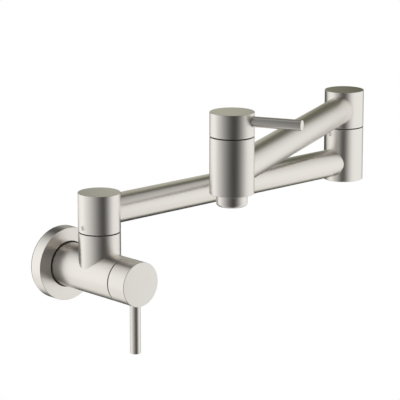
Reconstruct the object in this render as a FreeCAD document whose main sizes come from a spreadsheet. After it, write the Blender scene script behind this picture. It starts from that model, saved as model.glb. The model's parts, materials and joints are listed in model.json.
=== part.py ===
"""Wall mounted pot filler: two folding arms, a valve at the wall and a second one at the spout.

The origin is the centre of the wall flange's back face, on the wall. +Z is up, -Y comes out of the
wall into the room, and +X runs along the wall, as the first arm lies at rest. Millimetres, degrees.
"""

import FreeCAD, Part
import math
import os

import Sketcher
from FreeCAD import Placement, Rotation, Vector

SIZES = {
    # Wall flange, a shallow cup that slides on the valve body, and its foam gasket.
    "flange_radius": 31.75,
    "flange_depth": 12.6,
    "flange_rim_wall": 2.5,
    "flange_face_wall": 3.0,
    "flange_boss_wall": 4.0,
    "flange_clearance": 0.35,
    "flange_ring_cord": 2.0,
    "flange_ring_height": 7.0,
    "gasket_thickness": 1.0,
    "gasket_width": 6.0,
    "gasket_inset": 0.5,
    # Valve body: a barrel out of the wall, with an upright stub for the first swivel.
    "body_radius": 19.0,
    "body_reach": 31.9,
    "swivel_standoff": 53.5,
    "stub_height": 36.3,
    "inlet_thread_radius": 9.13,
    "inlet_thread_length": 16.0,
    "inlet_passage_radius": 6.5,
    "stub_port_radius": 6.0,
    # Both valves: seat, chamber round the cartridge, thread and counterbore.
    "seat_to_port": 9.5,
    "chamber_radius": 11.5,
    "chamber_length": 20.0,
    "cartridge_thread_radius": 10.2,
    "cartridge_thread_length": 12.0,
    "counterbore_radius": 14.5,
    "thread_clearance": 0.05,
    # Quarter turn cartridge.
    "seal_height": 3.0,
    "seal_proud": 1.2,
    "seal_bore_radius": 5.2,
    "disc_radius": 7.8,
    "disc_thickness": 3.0,
    "disc_gap": 0.03,
    "disc_clearance": 0.08,
    "port_angle": 80.0,
    "port_rim": 1.6,
    "port_core_radius": 1.6,
    "notch_core_radius": 3.0,
    "ear_reach": 0.9,
    "ear_width": 2.0,
    "housing_radius": 9.0,
    "hexagon_flats": 22.0,
    "hexagon_height": 5.5,
    "neck_radius": 7.0,
    "neck_length": 4.5,
    "housing_ring_cord": 2.0,
    "driver_thickness": 3.0,
    "tongue_width": 2.9,
    "tongue_depth": 1.0,
    "stem_radius": 4.75,
    "stem_ring_cord": 1.3,
    "stem_ring_rise": 1.6,
    "clip_thickness": 0.9,
    "clip_width": 2.1,
    "clip_groove_depth": 0.6,
    "clip_opening": 70.0,
    "spline_radius": 4.0,
    "spline_length": 11.0,
    # Handles: hub on a splined sleeve, clamped by a grub screw behind the lever's threaded root.
    "wall_hub_length": 20.0,
    "spout_hub_length": 19.6,
    "hub_wall": 3.0,
    "hub_recess_depth": 3.2,
    "hub_boss_radius": 10.5,
    "sleeve_radius": 7.0,
    "sleeve_start": 0.9,
    "sleeve_beyond_spline": 3.0,
    "sleeve_slit": 1.0,
    "wall_lever_rise": 12.9,
    "spout_lever_rise": 12.7,
    "wall_lever_radius": 4.5,
    "spout_lever_radius": 4.25,
    "wall_lever_reach": 60.4,
    "spout_lever_reach": 58.8,
    "lever_seat_depth": 2.0,
    "lever_thread_radius": 3.0,
    "grub_length": 4.0,
    "grub_socket_flats": 3.0,
    "grub_socket_depth": 2.4,
    "root_gap": 0.5,
    # Swivels: hollow posts with rings and a set screw groove, turning in plain bores.
    "barrel_radius": 18.0,
    "post_radius": 9.5,
    "post_bore_radius": 5.5,
    "post_thread_radius": 8.6,
    "wall_post_thread_length": 16.0,
    "elbow_post_thread_length": 8.5,
    "post_top_length": 4.3,
    "post_end_gap": 0.8,
    "elbow_post_depth": 23.3,
    "post_ring_cord": 1.8,
    "post_ring_groove_width": 1.9,
    "wall_post_ring_rise": 3.5,
    "elbow_post_ring_rise": 2.6,
    "elbow_post_ring_spacing": 4.2,
    "gallery_radius": 7.5,
    "gallery_half_height": 4.6,
    "gallery_port_radius": 3.6,
    "gallery_to_ring": 2.2,
    "washer_radius": 15.5,
    "set_screw_radius": 2.0,
    "set_screw_dog_radius": 1.2,
    "set_screw_sunk": 0.3,
    "set_screw_socket_flats": 2.0,
    "set_screw_socket_depth": 2.5,
    "set_screw_groove_depth": 1.3,
    "set_screw_groove_play": 0.3,
    "wall_set_screw_rise": 5.4,
    "elbow_set_screw_drop": 5.2,
    # Arms.
    "inner_barrel_length": 33.5,
    "upper_barrel_length": 33.95,
    "inner_arm_length": 297.0,
    "outer_arm_length": 297.0,
    "tube_radius": 12.7,
    "tube_wall": 1.2,
    "inner_port_radius": 4.4,
    "arm_port_radius": 7.5,
    "arm_chamber_radius": 8.0,
    "elbow_turn": 205.8,
    # Spout head and aerator.
    "fold_clearance": 6.3,
    "aerator_drop": 10.2,
    "spout_drop": 16.5,
    "spout_rise": 30.3,
    "spout_round": 0.5,
    "outlet_radius": 6.0,
    "aerator_radius": 12.6,
    "aerator_round": 2.8,
    "aerator_thread_radius": 12.0,
    "aerator_thread_length": 4.0,
    "aerator_lip_height": 2.0,
    "aerator_lip_width": 1.4,
    "aerator_bore_radius": 10.4,
    "aerator_washer_height": 1.3,
    "aerator_washer_width": 3.4,
    "insert_plate": 3.0,
    "insert_wall": 1.2,
    "insert_sunk": 0.6,
    "insert_hole_radius": 0.75,
    "insert_ring_spacing": 2.9,
    # Shared fits.
    "running_clearance": 0.05,
    "seam_gap": 0.6,
    "edge_break": 0.3,
    "overshoot": 1.0,
}

SPLINE_SQUARES = 5
SQUARE_SIDES = 4
HEXAGON_SIDES = 6
HALF_TURN = 180.0
QUARTER_TURN = 90.0
FULL_TURN = 360.0
PORT_DIRECTION = 45.0
INSERT_RINGS = (6, 12, 18)

DOC = FreeCAD.newDocument("PotFiller")
PARTS = []


class Dim:
    """A length or angle: its value now, and the sheet expression that keeps it bound."""

    def __init__(self, text, value):
        self.text = text
        self.value = value

    def __add__(self, other):
        other = as_dim(other)
        return Dim(f"({self.text} + {other.text})", self.value + other.value)

    def __sub__(self, other):
        other = as_dim(other)
        return Dim(f"({self.text} - {other.text})", self.value - other.value)

    def __mul__(self, other):
        other = as_dim(other)
        return Dim(f"({self.text} * {other.text})", self.value * other.value)

    def __truediv__(self, other):
        other = as_dim(other)
        return Dim(f"({self.text} / {other.text})", self.value / other.value)

    def __neg__(self):
        return self * -1.0


def as_dim(quantity):
    """A plain number as a Dim."""
    if isinstance(quantity, Dim):
        return quantity
    return Dim(repr(float(quantity)), float(quantity))


def cosine(angle):
    return Dim(f"cos({angle.text})", math.cos(math.radians(angle.value)))


def sine(angle):
    return Dim(f"sin({angle.text})", math.sin(math.radians(angle.value)))


class SizeSheet:
    """The spreadsheet of driving dimensions, each read as an attribute."""

    def __init__(self, sizes):
        self.sheet = DOC.addObject("Spreadsheet::Sheet", "Sizes")
        for row, (name, value) in enumerate(sizes.items(), start=1):
            self.sheet.set(f"A{row}", str(value))
            self.sheet.setAlias(f"A{row}", name)
        DOC.recompute()

    def __getattr__(self, name):
        return Dim(f"Sizes.{name}", float(getattr(self.sheet, name)))


S = SizeSheet(SIZES)

FACING = {
    "x": Rotation(Vector(0, 1, 0), QUARTER_TURN),
    "-x": Rotation(Vector(0, 1, 0), -QUARTER_TURN),
    "y": Rotation(Vector(1, 0, 0), -QUARTER_TURN),
    "z": Rotation(),
}


class Station:
    """Where a sub-part's own frame stands: a point, a fixed attitude, or a turn about the upright."""

    def __init__(self, x=0.0, y=0.0, z=0.0, attitude=None, turn=None, axis="z"):
        self.x = as_dim(x)
        self.y = as_dim(y)
        self.z = as_dim(z)
        self.attitude = attitude
        self.turn = turn
        self.axis = axis

    def ahead(self, distance):
        """The station moved along its own axis: up, or out of the wall."""
        if self.axis == "z":
            return Station(self.x, self.y, self.z + distance, self.attitude, self.turn, self.axis)
        return Station(self.x, self.y - distance, self.z, self.attitude, self.turn, self.axis)

    def hold(self, part):
        """Puts the part here, with its place bound to the sheet."""
        rotation = self.attitude or Rotation()
        if self.turn:
            rotation = Rotation(Vector(0, 0, 1), self.turn.value)
        part.Placement = Placement(Vector(self.x.value, self.y.value, self.z.value), rotation)
        part.setExpression("Placement.Base.x", self.x.text)
        part.setExpression("Placement.Base.y", self.y.text)
        part.setExpression("Placement.Base.z", self.z.text)
        if self.turn:
            part.setExpression("Placement.Rotation.Angle", self.turn.text)


def publish(part, label, station):
    """Names a finished sub-part, puts it in place and lists it for export."""
    part.Label = label
    station.hold(part)
    PARTS.append(part)
    return part


def bind(item, **sizes):
    for name, size in sizes.items():
        item.setExpression(name, as_dim(size).text)


def turned(name, outline, along="z"):
    """A solid of revolution about its Z or X axis, from a closed outline of (radius, distance)."""
    body = DOC.addObject("PartDesign::Body", name)
    sketch = body.newObject("Sketcher::SketchObject", f"{name}_profile")
    plane = [item for item in body.Origin.OriginFeatures if item.Role == "XZ_Plane"][0]
    sketch.AttachmentSupport = (plane, [""])
    sketch.MapMode = "FlatFace"
    corners = [(as_dim(radius), as_dim(distance)) for radius, distance in outline]
    if along == "x":
        corners = [(distance, radius) for radius, distance in corners]
    count = len(corners)
    for index, (x, y) in enumerate(corners):
        next_x, next_y = corners[(index + 1) % count]
        line = Part.LineSegment(Vector(x.value, y.value, 0), Vector(next_x.value, next_y.value, 0))
        sketch.addGeometry(line, False)
    for index in range(count):
        sketch.addConstraint(Sketcher.Constraint("Coincident", index, 2, (index + 1) % count, 1))
    for index, corner in enumerate(corners):
        for kind, other_axis, coordinate in zip(("DistanceX", "DistanceY"), (-2, -1), corner):
            if coordinate.text == "0.0":
                sketch.addConstraint(Sketcher.Constraint("PointOnObject", index, 1, other_axis))
                continue
            rule = Sketcher.Constraint(kind, -1, 1, index, 1, coordinate.value)
            number = sketch.addConstraint(rule)
            sketch.setExpression(f"Constraints[{number}]", coordinate.text)
    revolution = body.newObject("PartDesign::Revolution", f"{name}_revolution")
    revolution.Profile = sketch
    revolution.ReferenceAxis = (sketch, ["V_Axis" if along == "z" else "H_Axis"])
    revolution.Angle = FULL_TURN
    DOC.recompute()
    return body


def rounded(body, name, size, radius, height):
    """Rounds the turned body's edge that lies at this radius and height."""
    names = []
    for index, edge in enumerate(body.Tip.Shape.Edges, start=1):
        if not isinstance(edge.Curve, Part.Circle):
            continue
        if not math.isclose(edge.Curve.Radius, radius.value, abs_tol=1e-6):
            continue
        if math.isclose(edge.Curve.Center.z, height.value, abs_tol=1e-6):
            names.append(f"Edge{index}")
    base = body.Tip
    fillet = body.newObject("PartDesign::Fillet", name)
    fillet.Base = (base, names)
    bind(fillet, Radius=size)
    DOC.recompute()
    return body


def stand(item, at, facing="z", turn=0.0):
    """Puts a primitive at a bound point, facing along an axis, turned about the upright."""
    x, y, z = (as_dim(value) for value in at)
    rotation = Rotation(Vector(0, 0, 1), turn) * FACING[facing]
    item.Placement = Placement(Vector(x.value, y.value, z.value), rotation)
    item.setExpression("Placement.Base.x", x.text)
    item.setExpression("Placement.Base.y", y.text)
    item.setExpression("Placement.Base.z", z.text)
    return item


def cylinder(name, radius, length, at=(0, 0, 0), facing="z", turn=0.0):
    item = DOC.addObject("Part::Cylinder", name)
    bind(item, Radius=radius, Height=length)
    return stand(item, at, facing, turn)


def prism(name, sides, corner_radius, length, at=(0, 0, 0), facing="z", turn=0.0):
    item = DOC.addObject("Part::Prism", name)
    item.Polygon = sides
    bind(item, Circumradius=corner_radius, Height=length)
    return stand(item, at, facing, turn)


def bar(name, length, width, height, low, turn=0.0):
    """A bar centred on the axis, lying along a direction, from a height upwards."""
    item = DOC.addObject("Part::Box", name)
    bind(item, Length=length, Width=width, Height=height)
    half_length = -length / 2
    half_width = -width / 2
    across = math.radians(turn)
    x = half_length * math.cos(across) - half_width * math.sin(across)
    y = half_length * math.sin(across) + half_width * math.cos(across)
    return stand(item, (x, y, low), turn=turn)


def sectors(name, radius, core_radius, height, low, direction):
    """Two opposite sectors round the axis, centred on a direction, without their core."""
    wedges = []
    for index in range(2):
        wedge = cylinder(f"{name}_wedge{index}", radius, height, (0, 0, low))
        wedge.Placement.Rotation = Rotation(Vector(0, 0, 1), direction)
        bind(wedge, Angle=S.port_angle)
        middle = as_dim(direction + index * HALF_TURN) - S.port_angle / 2
        wedge.setExpression("Placement.Rotation.Angle", middle.text)
        wedges.append(wedge)
    core = cylinder(f"{name}_core", core_radius, height, (0, 0, low))
    return cut(name, join(f"{name}_pair", wedges), [core])


def ring(name, inner, outer, height):
    """A round section ring between two radii, at a height."""
    inner = as_dim(inner)
    item = DOC.addObject("Part::Torus", name)
    bind(item, Radius1=(inner + outer) / 2, Radius2=(outer - inner) / 2)
    return stand(item, (0, 0, height))


def join(name, pieces):
    item = DOC.addObject("Part::MultiFuse", name)
    item.Shapes = pieces
    DOC.recompute()
    return item


def group(name, pieces):
    """Separate solids that share one node."""
    item = DOC.addObject("Part::Compound", name)
    item.Links = pieces
    DOC.recompute()
    return item


def cut(name, base, tools):
    """The base without its tools, each of which has to remove something."""
    tool = tools[0] if len(tools) == 1 else join(f"{name}_tools", tools)
    item = DOC.addObject("Part::Cut", name)
    item.Base = base
    item.Tool = tool
    DOC.recompute()
    if item.Shape.Volume >= base.Shape.Volume:
        raise RuntimeError(f"{name}: nothing was cut")
    return item


def groove(surface, floor, low, high):
    return [(surface, low), (floor, low), (floor, high), (surface, high)]


def sleeve(name, inner, outer, low, high):
    """A plain ring of square section."""
    return turned(name, [(inner, low), (outer, low), (outer, high), (inner, high)])


def hexagon_corner(flats):
    """Corner radius of a hexagon from its width across flats."""
    return flats / math.sqrt(3.0)


# Heights above the wall's axis, and places of the swivels and the head.
INNER_SEAM = S.stub_height
INNER_ARM_HEIGHT = INNER_SEAM + S.inner_barrel_length / 2
INNER_TOP = INNER_SEAM + S.inner_barrel_length
AERATOR_BOTTOM = INNER_TOP + S.fold_clearance
SPOUT_BOTTOM = AERATOR_BOTTOM + S.aerator_drop
OUTER_ARM_HEIGHT = SPOUT_BOTTOM + S.spout_drop
ELBOW_SEAM = OUTER_ARM_HEIGHT - S.upper_barrel_length / 2
ELBOW_TOP = ELBOW_SEAM + S.upper_barrel_length
SPOUT_SEAM = OUTER_ARM_HEIGHT + S.spout_rise
HALF_GAP = S.seam_gap / 2

# Heights along the cartridge, from its seat.
FIXED_DISC_TOP = S.seal_height + S.disc_thickness
MOVING_DISC_LOW = FIXED_DISC_TOP + S.disc_gap
MOVING_DISC_TOP = MOVING_DISC_LOW + S.disc_thickness
DRIVER_TOP = MOVING_DISC_TOP + S.driver_thickness
DRIVER_ROOM_TOP = DRIVER_TOP + S.running_clearance
SHOULDER = S.chamber_length + S.cartridge_thread_length
HEXAGON_TOP = SHOULDER + S.hexagon_height
NECK_TOP = HEXAGON_TOP + S.neck_length
CLIP_LOW = NECK_TOP + S.running_clearance
CLIP_TOP = CLIP_LOW + S.clip_thickness
SPLINE_START = CLIP_TOP + S.edge_break
SPLINE_END = SPLINE_START + S.spline_length
SLEEVE_LOW = SPLINE_START + S.sleeve_start
SLEEVE_TOP = SPLINE_END + S.sleeve_beyond_spline
REACH_FROM_SEAT = {"wall": S.seat_to_port + S.body_reach, "spout": S.seat_to_port + S.spout_rise}

DISC_BORE = S.disc_radius + S.disc_clearance
NECK_BORE = S.stem_radius + S.running_clearance
POST_BORE = S.post_radius + S.running_clearance
POST_THREAD_BORE = S.post_thread_radius + S.thread_clearance
CARTRIDGE_THREAD_BORE = S.cartridge_thread_radius + S.thread_clearance
LEVER_THREAD_BORE = S.lever_thread_radius + S.thread_clearance
FLANGE_BORE = S.body_radius + S.flange_clearance

ELBOW_X = S.inner_arm_length
HEAD_X = ELBOW_X + S.outer_arm_length * cosine(S.elbow_turn)
HEAD_Y = S.outer_arm_length * sine(S.elbow_turn) - S.swivel_standoff
WALL_SEAT = S.swivel_standoff - S.seat_to_port
WALL_SEAM = S.swivel_standoff + S.body_reach
SPOUT_SEAT = OUTER_ARM_HEIGHT - S.seat_to_port

# Out of the wall: a sub-part's own Z comes into the room, and its own Y points up.
WALL = Station(attitude=Rotation(Vector(1, 0, 0), QUARTER_TURN), axis="y")
# The same way out, but a sub-part's own X points down, as the wall lever hangs.
WALL_VALVE = Station(
    attitude=Rotation(Vector(0, 0, -1), Vector(1, 0, 0), Vector(0, -1, 0), "ZXY"), axis="y"
)
FIRST_SWIVEL = Station(y=-S.swivel_standoff)
ELBOW = Station(x=ELBOW_X, y=-S.swivel_standoff)
OUTER_ARM = Station(x=ELBOW_X, y=-S.swivel_standoff, turn=S.elbow_turn)
HEAD = Station(x=HEAD_X, y=HEAD_Y, turn=S.elbow_turn)
# The spout lever stands square to the second arm.
HEAD_VALVE = Station(x=HEAD_X, y=HEAD_Y, turn=S.elbow_turn + QUARTER_TURN)

SEATS = {"wall": WALL_VALVE.ahead(WALL_SEAT), "spout": HEAD_VALVE.ahead(SPOUT_SEAT)}
HUB_RADIUS = {"wall": S.body_radius, "spout": S.barrel_radius}
HUB_LENGTH = {"wall": S.wall_hub_length, "spout": S.spout_hub_length}
LEVER_RISE = {"wall": S.wall_lever_rise, "spout": S.spout_lever_rise}
LEVER_RADIUS = {"wall": S.wall_lever_radius, "spout": S.spout_lever_radius}
LEVER_REACH = {"wall": S.wall_lever_reach, "spout": S.spout_lever_reach}


def make_flange():
    """The cover plate, a cup with a bored boss whose ring grips the valve body."""
    front = S.flange_depth
    rim = S.flange_radius
    groove_radius = S.body_radius + S.flange_ring_cord
    half_cord = S.flange_ring_cord / 2
    boss = FLANGE_BORE + S.flange_boss_wall
    plate_back = front - S.flange_face_wall
    outline = [
        (rim, S.gasket_thickness),
        (rim, front - S.edge_break),
        (rim - S.edge_break, front),
        (FLANGE_BORE + S.edge_break, front),
        (FLANGE_BORE, front - S.edge_break),
    ]
    outline += groove(
        FLANGE_BORE, groove_radius, S.flange_ring_height + half_cord, S.flange_ring_height - half_cord
    )
    outline += [
        (FLANGE_BORE, S.gasket_thickness),
        (boss, S.gasket_thickness),
        (boss, plate_back),
        (rim - S.flange_rim_wall, plate_back),
        (rim - S.flange_rim_wall, S.gasket_thickness),
    ]
    publish(turned("flange", outline), "wall_flange", WALL)
    grip = ring("flange_grip", S.body_radius, groove_radius, S.flange_ring_height)
    publish(group("flange_grip_node", [grip]), "flange_oring", WALL)
    edge = rim - S.gasket_inset
    gasket = sleeve("gasket", edge - S.gasket_width, edge, 0.0, S.gasket_thickness)
    publish(gasket, "flange_gasket", WALL)


def valve_pocket(name, side, seat):
    """The room for a cartridge: chamber, thread, ring recess and counterbore, from the seat out."""
    end = REACH_FROM_SEAT[side] + S.overshoot
    recess = S.cartridge_thread_radius + S.housing_ring_cord
    recess_low = SHOULDER - S.housing_ring_cord
    outline = [
        (0, 0),
        (S.chamber_radius, 0),
        (S.chamber_radius, S.chamber_length),
        (CARTRIDGE_THREAD_BORE, S.chamber_length),
        (CARTRIDGE_THREAD_BORE, recess_low),
        (recess, recess_low),
        (recess, SHOULDER),
        (S.counterbore_radius, SHOULDER),
        (S.counterbore_radius, end),
        (0, end),
    ]
    return stand(turned(name, outline), (0, 0, seat))


def barrel_outline(radius, low, high):
    """A plain barrel with both outer edges broken."""
    low = as_dim(low)
    return [
        (0, low),
        (radius - S.edge_break, low),
        (radius, low + S.edge_break),
        (radius, high - S.edge_break),
        (radius - S.edge_break, high),
        (0, high),
    ]


def make_wall_body():
    """The valve body: barrel and upright stub, bored for inlet, cartridge and swivel post."""
    barrel = turned("body_barrel", barrel_outline(S.body_radius, 0, WALL_SEAM - HALF_GAP))
    stub_top = INNER_SEAM - HALF_GAP
    stub_outline = [
        (0, 0),
        (S.barrel_radius, 0),
        (S.barrel_radius, stub_top - S.edge_break),
        (S.barrel_radius - S.edge_break, stub_top),
        (0, stub_top),
    ]
    stub = stand(turned("body_stub", stub_outline), (0, 0, S.swivel_standoff), "y")
    inlet_outline = [
        (0, -S.overshoot),
        (S.inlet_thread_radius, -S.overshoot),
        (S.inlet_thread_radius, S.inlet_thread_length),
        (S.inlet_passage_radius, S.inlet_thread_length),
        (S.inlet_passage_radius, WALL_SEAT + S.overshoot),
        (0, WALL_SEAT + S.overshoot),
    ]
    post_foot = stub_top - S.wall_post_thread_length
    riser_outline = [
        (0, 0),
        (S.stub_port_radius, 0),
        (S.stub_port_radius, post_foot),
        (POST_THREAD_BORE, post_foot),
        (POST_THREAD_BORE, stub_top + S.overshoot),
        (0, stub_top + S.overshoot),
    ]
    tools = [
        turned("body_inlet", inlet_outline),
        valve_pocket("body_pocket", "wall", WALL_SEAT),
        stand(turned("body_riser", riser_outline), (0, 0, S.swivel_standoff), "y"),
    ]
    body = cut("body", join("body_outside", [barrel, stub]), tools)
    publish(body, "wall_body", WALL)


def make_cartridge(side):
    """The quarter turn cartridge: housing, seals, two ceramic discs, and the stem with its clip."""
    seat = SEATS[side]
    make_housing(side, seat)
    make_discs(side, seat)
    make_stem(side, seat)


def make_housing(side, seat):
    name = f"{side}_housing"
    outline = [
        (0, S.seal_proud),
        (S.housing_radius, S.seal_proud),
        (S.housing_radius, S.chamber_length),
        (S.cartridge_thread_radius, S.chamber_length),
        (S.cartridge_thread_radius, HEXAGON_TOP),
        (S.neck_radius, HEXAGON_TOP),
        (S.neck_radius, NECK_TOP),
        (0, NECK_TOP),
    ]
    nut = prism(
        f"{name}_hexagon", HEXAGON_SIDES, hexagon_corner(S.hexagon_flats), S.hexagon_height, (0, 0, SHOULDER)
    )
    outside = join(f"{name}_outside", [turned(f"{name}_core", outline), nut])
    bore_outline = [
        (0, 0),
        (DISC_BORE, 0),
        (DISC_BORE, DRIVER_ROOM_TOP),
        (NECK_BORE, DRIVER_ROOM_TOP),
        (NECK_BORE, NECK_TOP + S.overshoot),
        (0, NECK_TOP + S.overshoot),
    ]
    windows = sectors(
        f"{name}_windows",
        S.housing_radius + S.overshoot,
        S.notch_core_radius,
        S.disc_thickness,
        MOVING_DISC_LOW,
        PORT_DIRECTION,
    )
    slots = bar(
        f"{name}_slots",
        (S.housing_radius + S.overshoot) * 2,
        S.ear_width + S.disc_clearance,
        FIXED_DISC_TOP,
        0,
        PORT_DIRECTION + QUARTER_TURN,
    )
    housing = cut(name, outside, [turned(f"{name}_bore", bore_outline), windows, slots])
    publish(housing, f"{side}_cartridge_housing", seat)
    seal = sleeve(f"{side}_seal", S.seal_bore_radius, S.disc_radius, 0, S.seal_height)
    publish(seal, f"{side}_cartridge_seal", seat)
    outer = S.cartridge_thread_radius + S.housing_ring_cord
    packing = ring(f"{side}_packing", S.cartridge_thread_radius, outer, SHOULDER - S.housing_ring_cord / 2)
    publish(group(f"{side}_packing_node", [packing]), f"{side}_housing_oring", seat)


def make_discs(side, seat):
    """The fixed disc has two ports, and the moving one two notches that cover or free them."""
    name = f"{side}_fixed"
    plate = cylinder(f"{name}_plate", S.disc_radius, S.disc_thickness, (0, 0, S.seal_height))
    ears = bar(
        f"{name}_ears",
        (S.disc_radius + S.ear_reach) * 2,
        S.ear_width,
        S.disc_thickness,
        S.seal_height,
        PORT_DIRECTION + QUARTER_TURN,
    )
    ports = sectors(
        f"{name}_ports",
        S.disc_radius - S.port_rim,
        S.port_core_radius,
        S.disc_thickness,
        S.seal_height,
        PORT_DIRECTION,
    )
    publish(cut(name, join(f"{name}_blank", [plate, ears]), [ports]), f"{side}_fixed_disc", seat)
    name = f"{side}_moving"
    plate = cylinder(f"{name}_plate", S.disc_radius, S.disc_thickness, (0, 0, MOVING_DISC_LOW))
    notches = sectors(
        f"{name}_notches",
        S.disc_radius + S.overshoot,
        S.notch_core_radius,
        S.disc_thickness,
        MOVING_DISC_LOW,
        PORT_DIRECTION + QUARTER_TURN,
    )
    slot = bar(
        f"{name}_slot",
        (S.disc_radius + S.overshoot) * 2,
        S.tongue_width + S.running_clearance * 2,
        S.tongue_depth,
        MOVING_DISC_TOP - S.tongue_depth,
        PORT_DIRECTION,
    )
    publish(cut(name, plate, [notches, slot]), f"{side}_moving_disc", seat)


def spline(name, corner_radius, low, length):
    """Squares turned about one axis, whose corners are the teeth."""
    step = QUARTER_TURN / SPLINE_SQUARES
    return [
        prism(f"{name}{index}", SQUARE_SIDES, corner_radius, length, (0, 0, low), turn=index * step)
        for index in range(SPLINE_SQUARES)
    ]


def make_stem(side, seat):
    name = f"{side}_stem"
    ring_height = SHOULDER + S.stem_ring_rise
    ring_floor = NECK_BORE - S.stem_ring_cord
    half_cord = S.stem_ring_cord / 2
    clip_floor = S.stem_radius - S.clip_groove_depth
    outline = [
        (0, MOVING_DISC_TOP),
        (S.disc_radius, MOVING_DISC_TOP),
        (S.disc_radius, DRIVER_TOP),
        (S.stem_radius, DRIVER_TOP),
    ]
    outline += groove(S.stem_radius, ring_floor, ring_height - half_cord, ring_height + half_cord)
    outline += groove(S.stem_radius, clip_floor, CLIP_LOW, CLIP_TOP)
    outline += [(S.stem_radius, SPLINE_START), (0, SPLINE_START)]
    tongue = bar(
        f"{name}_tongue",
        (S.disc_radius - S.tongue_width / 2) * 2,
        S.tongue_width,
        S.tongue_depth,
        MOVING_DISC_TOP - S.tongue_depth,
        PORT_DIRECTION,
    )
    teeth = spline(f"{name}_tooth", S.spline_radius, SPLINE_START, S.spline_length)
    publish(
        join(name, [turned(f"{name}_shank", outline), tongue] + teeth), f"{side}_cartridge_stem", seat
    )
    outer = NECK_BORE - S.disc_gap
    packing = ring(f"{name}_packing", ring_floor, outer, ring_height)
    publish(group(f"{name}_packing_node", [packing]), f"{side}_stem_oring", seat)
    full_clip = sleeve(f"{side}_clip_ring", clip_floor, clip_floor + S.clip_width, CLIP_LOW, CLIP_TOP)
    opening = cylinder(f"{side}_clip_opening", S.neck_radius, S.clip_thickness, (0, 0, CLIP_LOW))
    bind(opening, Angle=S.clip_opening)
    publish(cut(f"{side}_clip", full_clip, [opening]), f"{side}_stem_circlip", seat)


def make_handle(side):
    """The hub on its splined sleeve, with the pin lever and the grub screw behind its root."""
    seat = SEATS[side]
    radius = HUB_RADIUS[side]
    seam = REACH_FROM_SEAT[side]
    back = seam + HALF_GAP
    front = seam + HUB_LENGTH[side]
    skirt = radius - S.hub_wall
    recess_top = SLEEVE_LOW + S.hub_recess_depth
    sleeve_bore = S.sleeve_radius + S.thread_clearance
    lever_height = seam + LEVER_RISE[side]
    lever_radius = LEVER_RADIUS[side]
    lever_seat = radius - S.lever_seat_depth
    outline = [
        (skirt, back),
        (radius - S.edge_break, back),
        (radius, back + S.edge_break),
        (radius, front - S.edge_break),
        (radius - S.edge_break, front),
        (0, front),
        (0, SLEEVE_TOP),
        (sleeve_bore, SLEEVE_TOP),
        (sleeve_bore, SLEEVE_LOW),
        (S.hub_boss_radius, SLEEVE_LOW),
        (S.hub_boss_radius, recess_top),
        (skirt, recess_top),
    ]
    name = f"{side}_hub"
    tapped = cylinder(f"{name}_tapped", LEVER_THREAD_BORE, radius, (0, 0, lever_height), "x")
    socket = cylinder(
        f"{name}_socket",
        lever_radius + S.thread_clearance,
        S.lever_seat_depth + S.overshoot,
        (lever_seat, 0, lever_height),
        "x",
    )
    publish(cut(name, turned(f"{name}_blank", outline), [tapped, socket]), f"{side}_handle_hub", seat)

    grub_end = S.sleeve_radius + S.grub_length
    root = grub_end + S.root_gap
    tip = LEVER_REACH[side]
    lever_outline = [
        (0, root),
        (S.lever_thread_radius, root),
        (S.lever_thread_radius, lever_seat),
        (lever_radius, lever_seat),
        (lever_radius, tip - S.edge_break),
        (lever_radius - S.edge_break, tip),
        (0, tip),
    ]
    publish(
        turned(f"{side}_lever", lever_outline, "x"), f"{side}_handle_lever", seat.ahead(lever_height)
    )

    grub = cylinder(
        f"{side}_grub_blank", S.lever_thread_radius, S.grub_length, (S.sleeve_radius, 0, 0), "x"
    )
    socket_start = grub_end - S.grub_socket_depth
    key = prism(
        f"{side}_grub_socket",
        HEXAGON_SIDES,
        hexagon_corner(S.grub_socket_flats),
        S.grub_socket_depth + S.overshoot,
        (socket_start, 0, 0),
        "x",
    )
    publish(cut(f"{side}_grub", grub, [key]), f"{side}_handle_grub_screw", seat.ahead(lever_height))

    name = f"{side}_sleeve"
    length = SLEEVE_TOP - SLEEVE_LOW
    blank = cylinder(f"{name}_blank", S.sleeve_radius, length, (0, 0, SLEEVE_LOW))
    teeth = spline(f"{name}_tooth", S.spline_radius + S.running_clearance, SLEEVE_LOW, length)
    slit = DOC.addObject("Part::Box", f"{name}_slit")
    bind(slit, Length=S.sleeve_slit, Width=S.sleeve_radius, Height=length)
    stand(slit, (-S.sleeve_slit / 2, 0, SLEEVE_LOW))
    publish(cut(name, blank, teeth + [slit]), f"{side}_spline_adapter", seat)


def post_ring_pair(name, heights, label, station):
    floor = POST_BORE - S.post_ring_cord
    outer = POST_BORE - S.disc_gap
    rings = [ring(f"{name}{index}", floor, outer, height) for index, height in enumerate(heights)]
    publish(group(name, rings), label, station)


def ring_groove(height):
    half_width = S.post_ring_groove_width / 2
    return groove(
        S.post_radius, POST_BORE - S.post_ring_cord, height - half_width, height + half_width
    )


def screw_groove(height):
    half_width = S.set_screw_dog_radius + S.set_screw_groove_play
    floor = S.post_radius - S.set_screw_groove_depth
    return groove(S.post_radius, floor, height - half_width, height + half_width)


WALL_SCREW_HEIGHT = INNER_SEAM + S.wall_set_screw_rise
ELBOW_SCREW_HEIGHT = ELBOW_SEAM - S.elbow_set_screw_drop
WALL_POST_LOW_RING = WALL_SCREW_HEIGHT + S.wall_post_ring_rise
WALL_POST_HIGH_RING = INNER_ARM_HEIGHT + S.gallery_half_height + S.gallery_to_ring
WALL_POST_TOP = WALL_POST_HIGH_RING + S.post_top_length
ELBOW_POST_FOOT = ELBOW_SEAM - S.elbow_post_depth
ELBOW_POST_RINGS = (
    ELBOW_POST_FOOT + S.elbow_post_ring_rise,
    ELBOW_POST_FOOT + S.elbow_post_ring_rise + S.elbow_post_ring_spacing,
)


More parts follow.
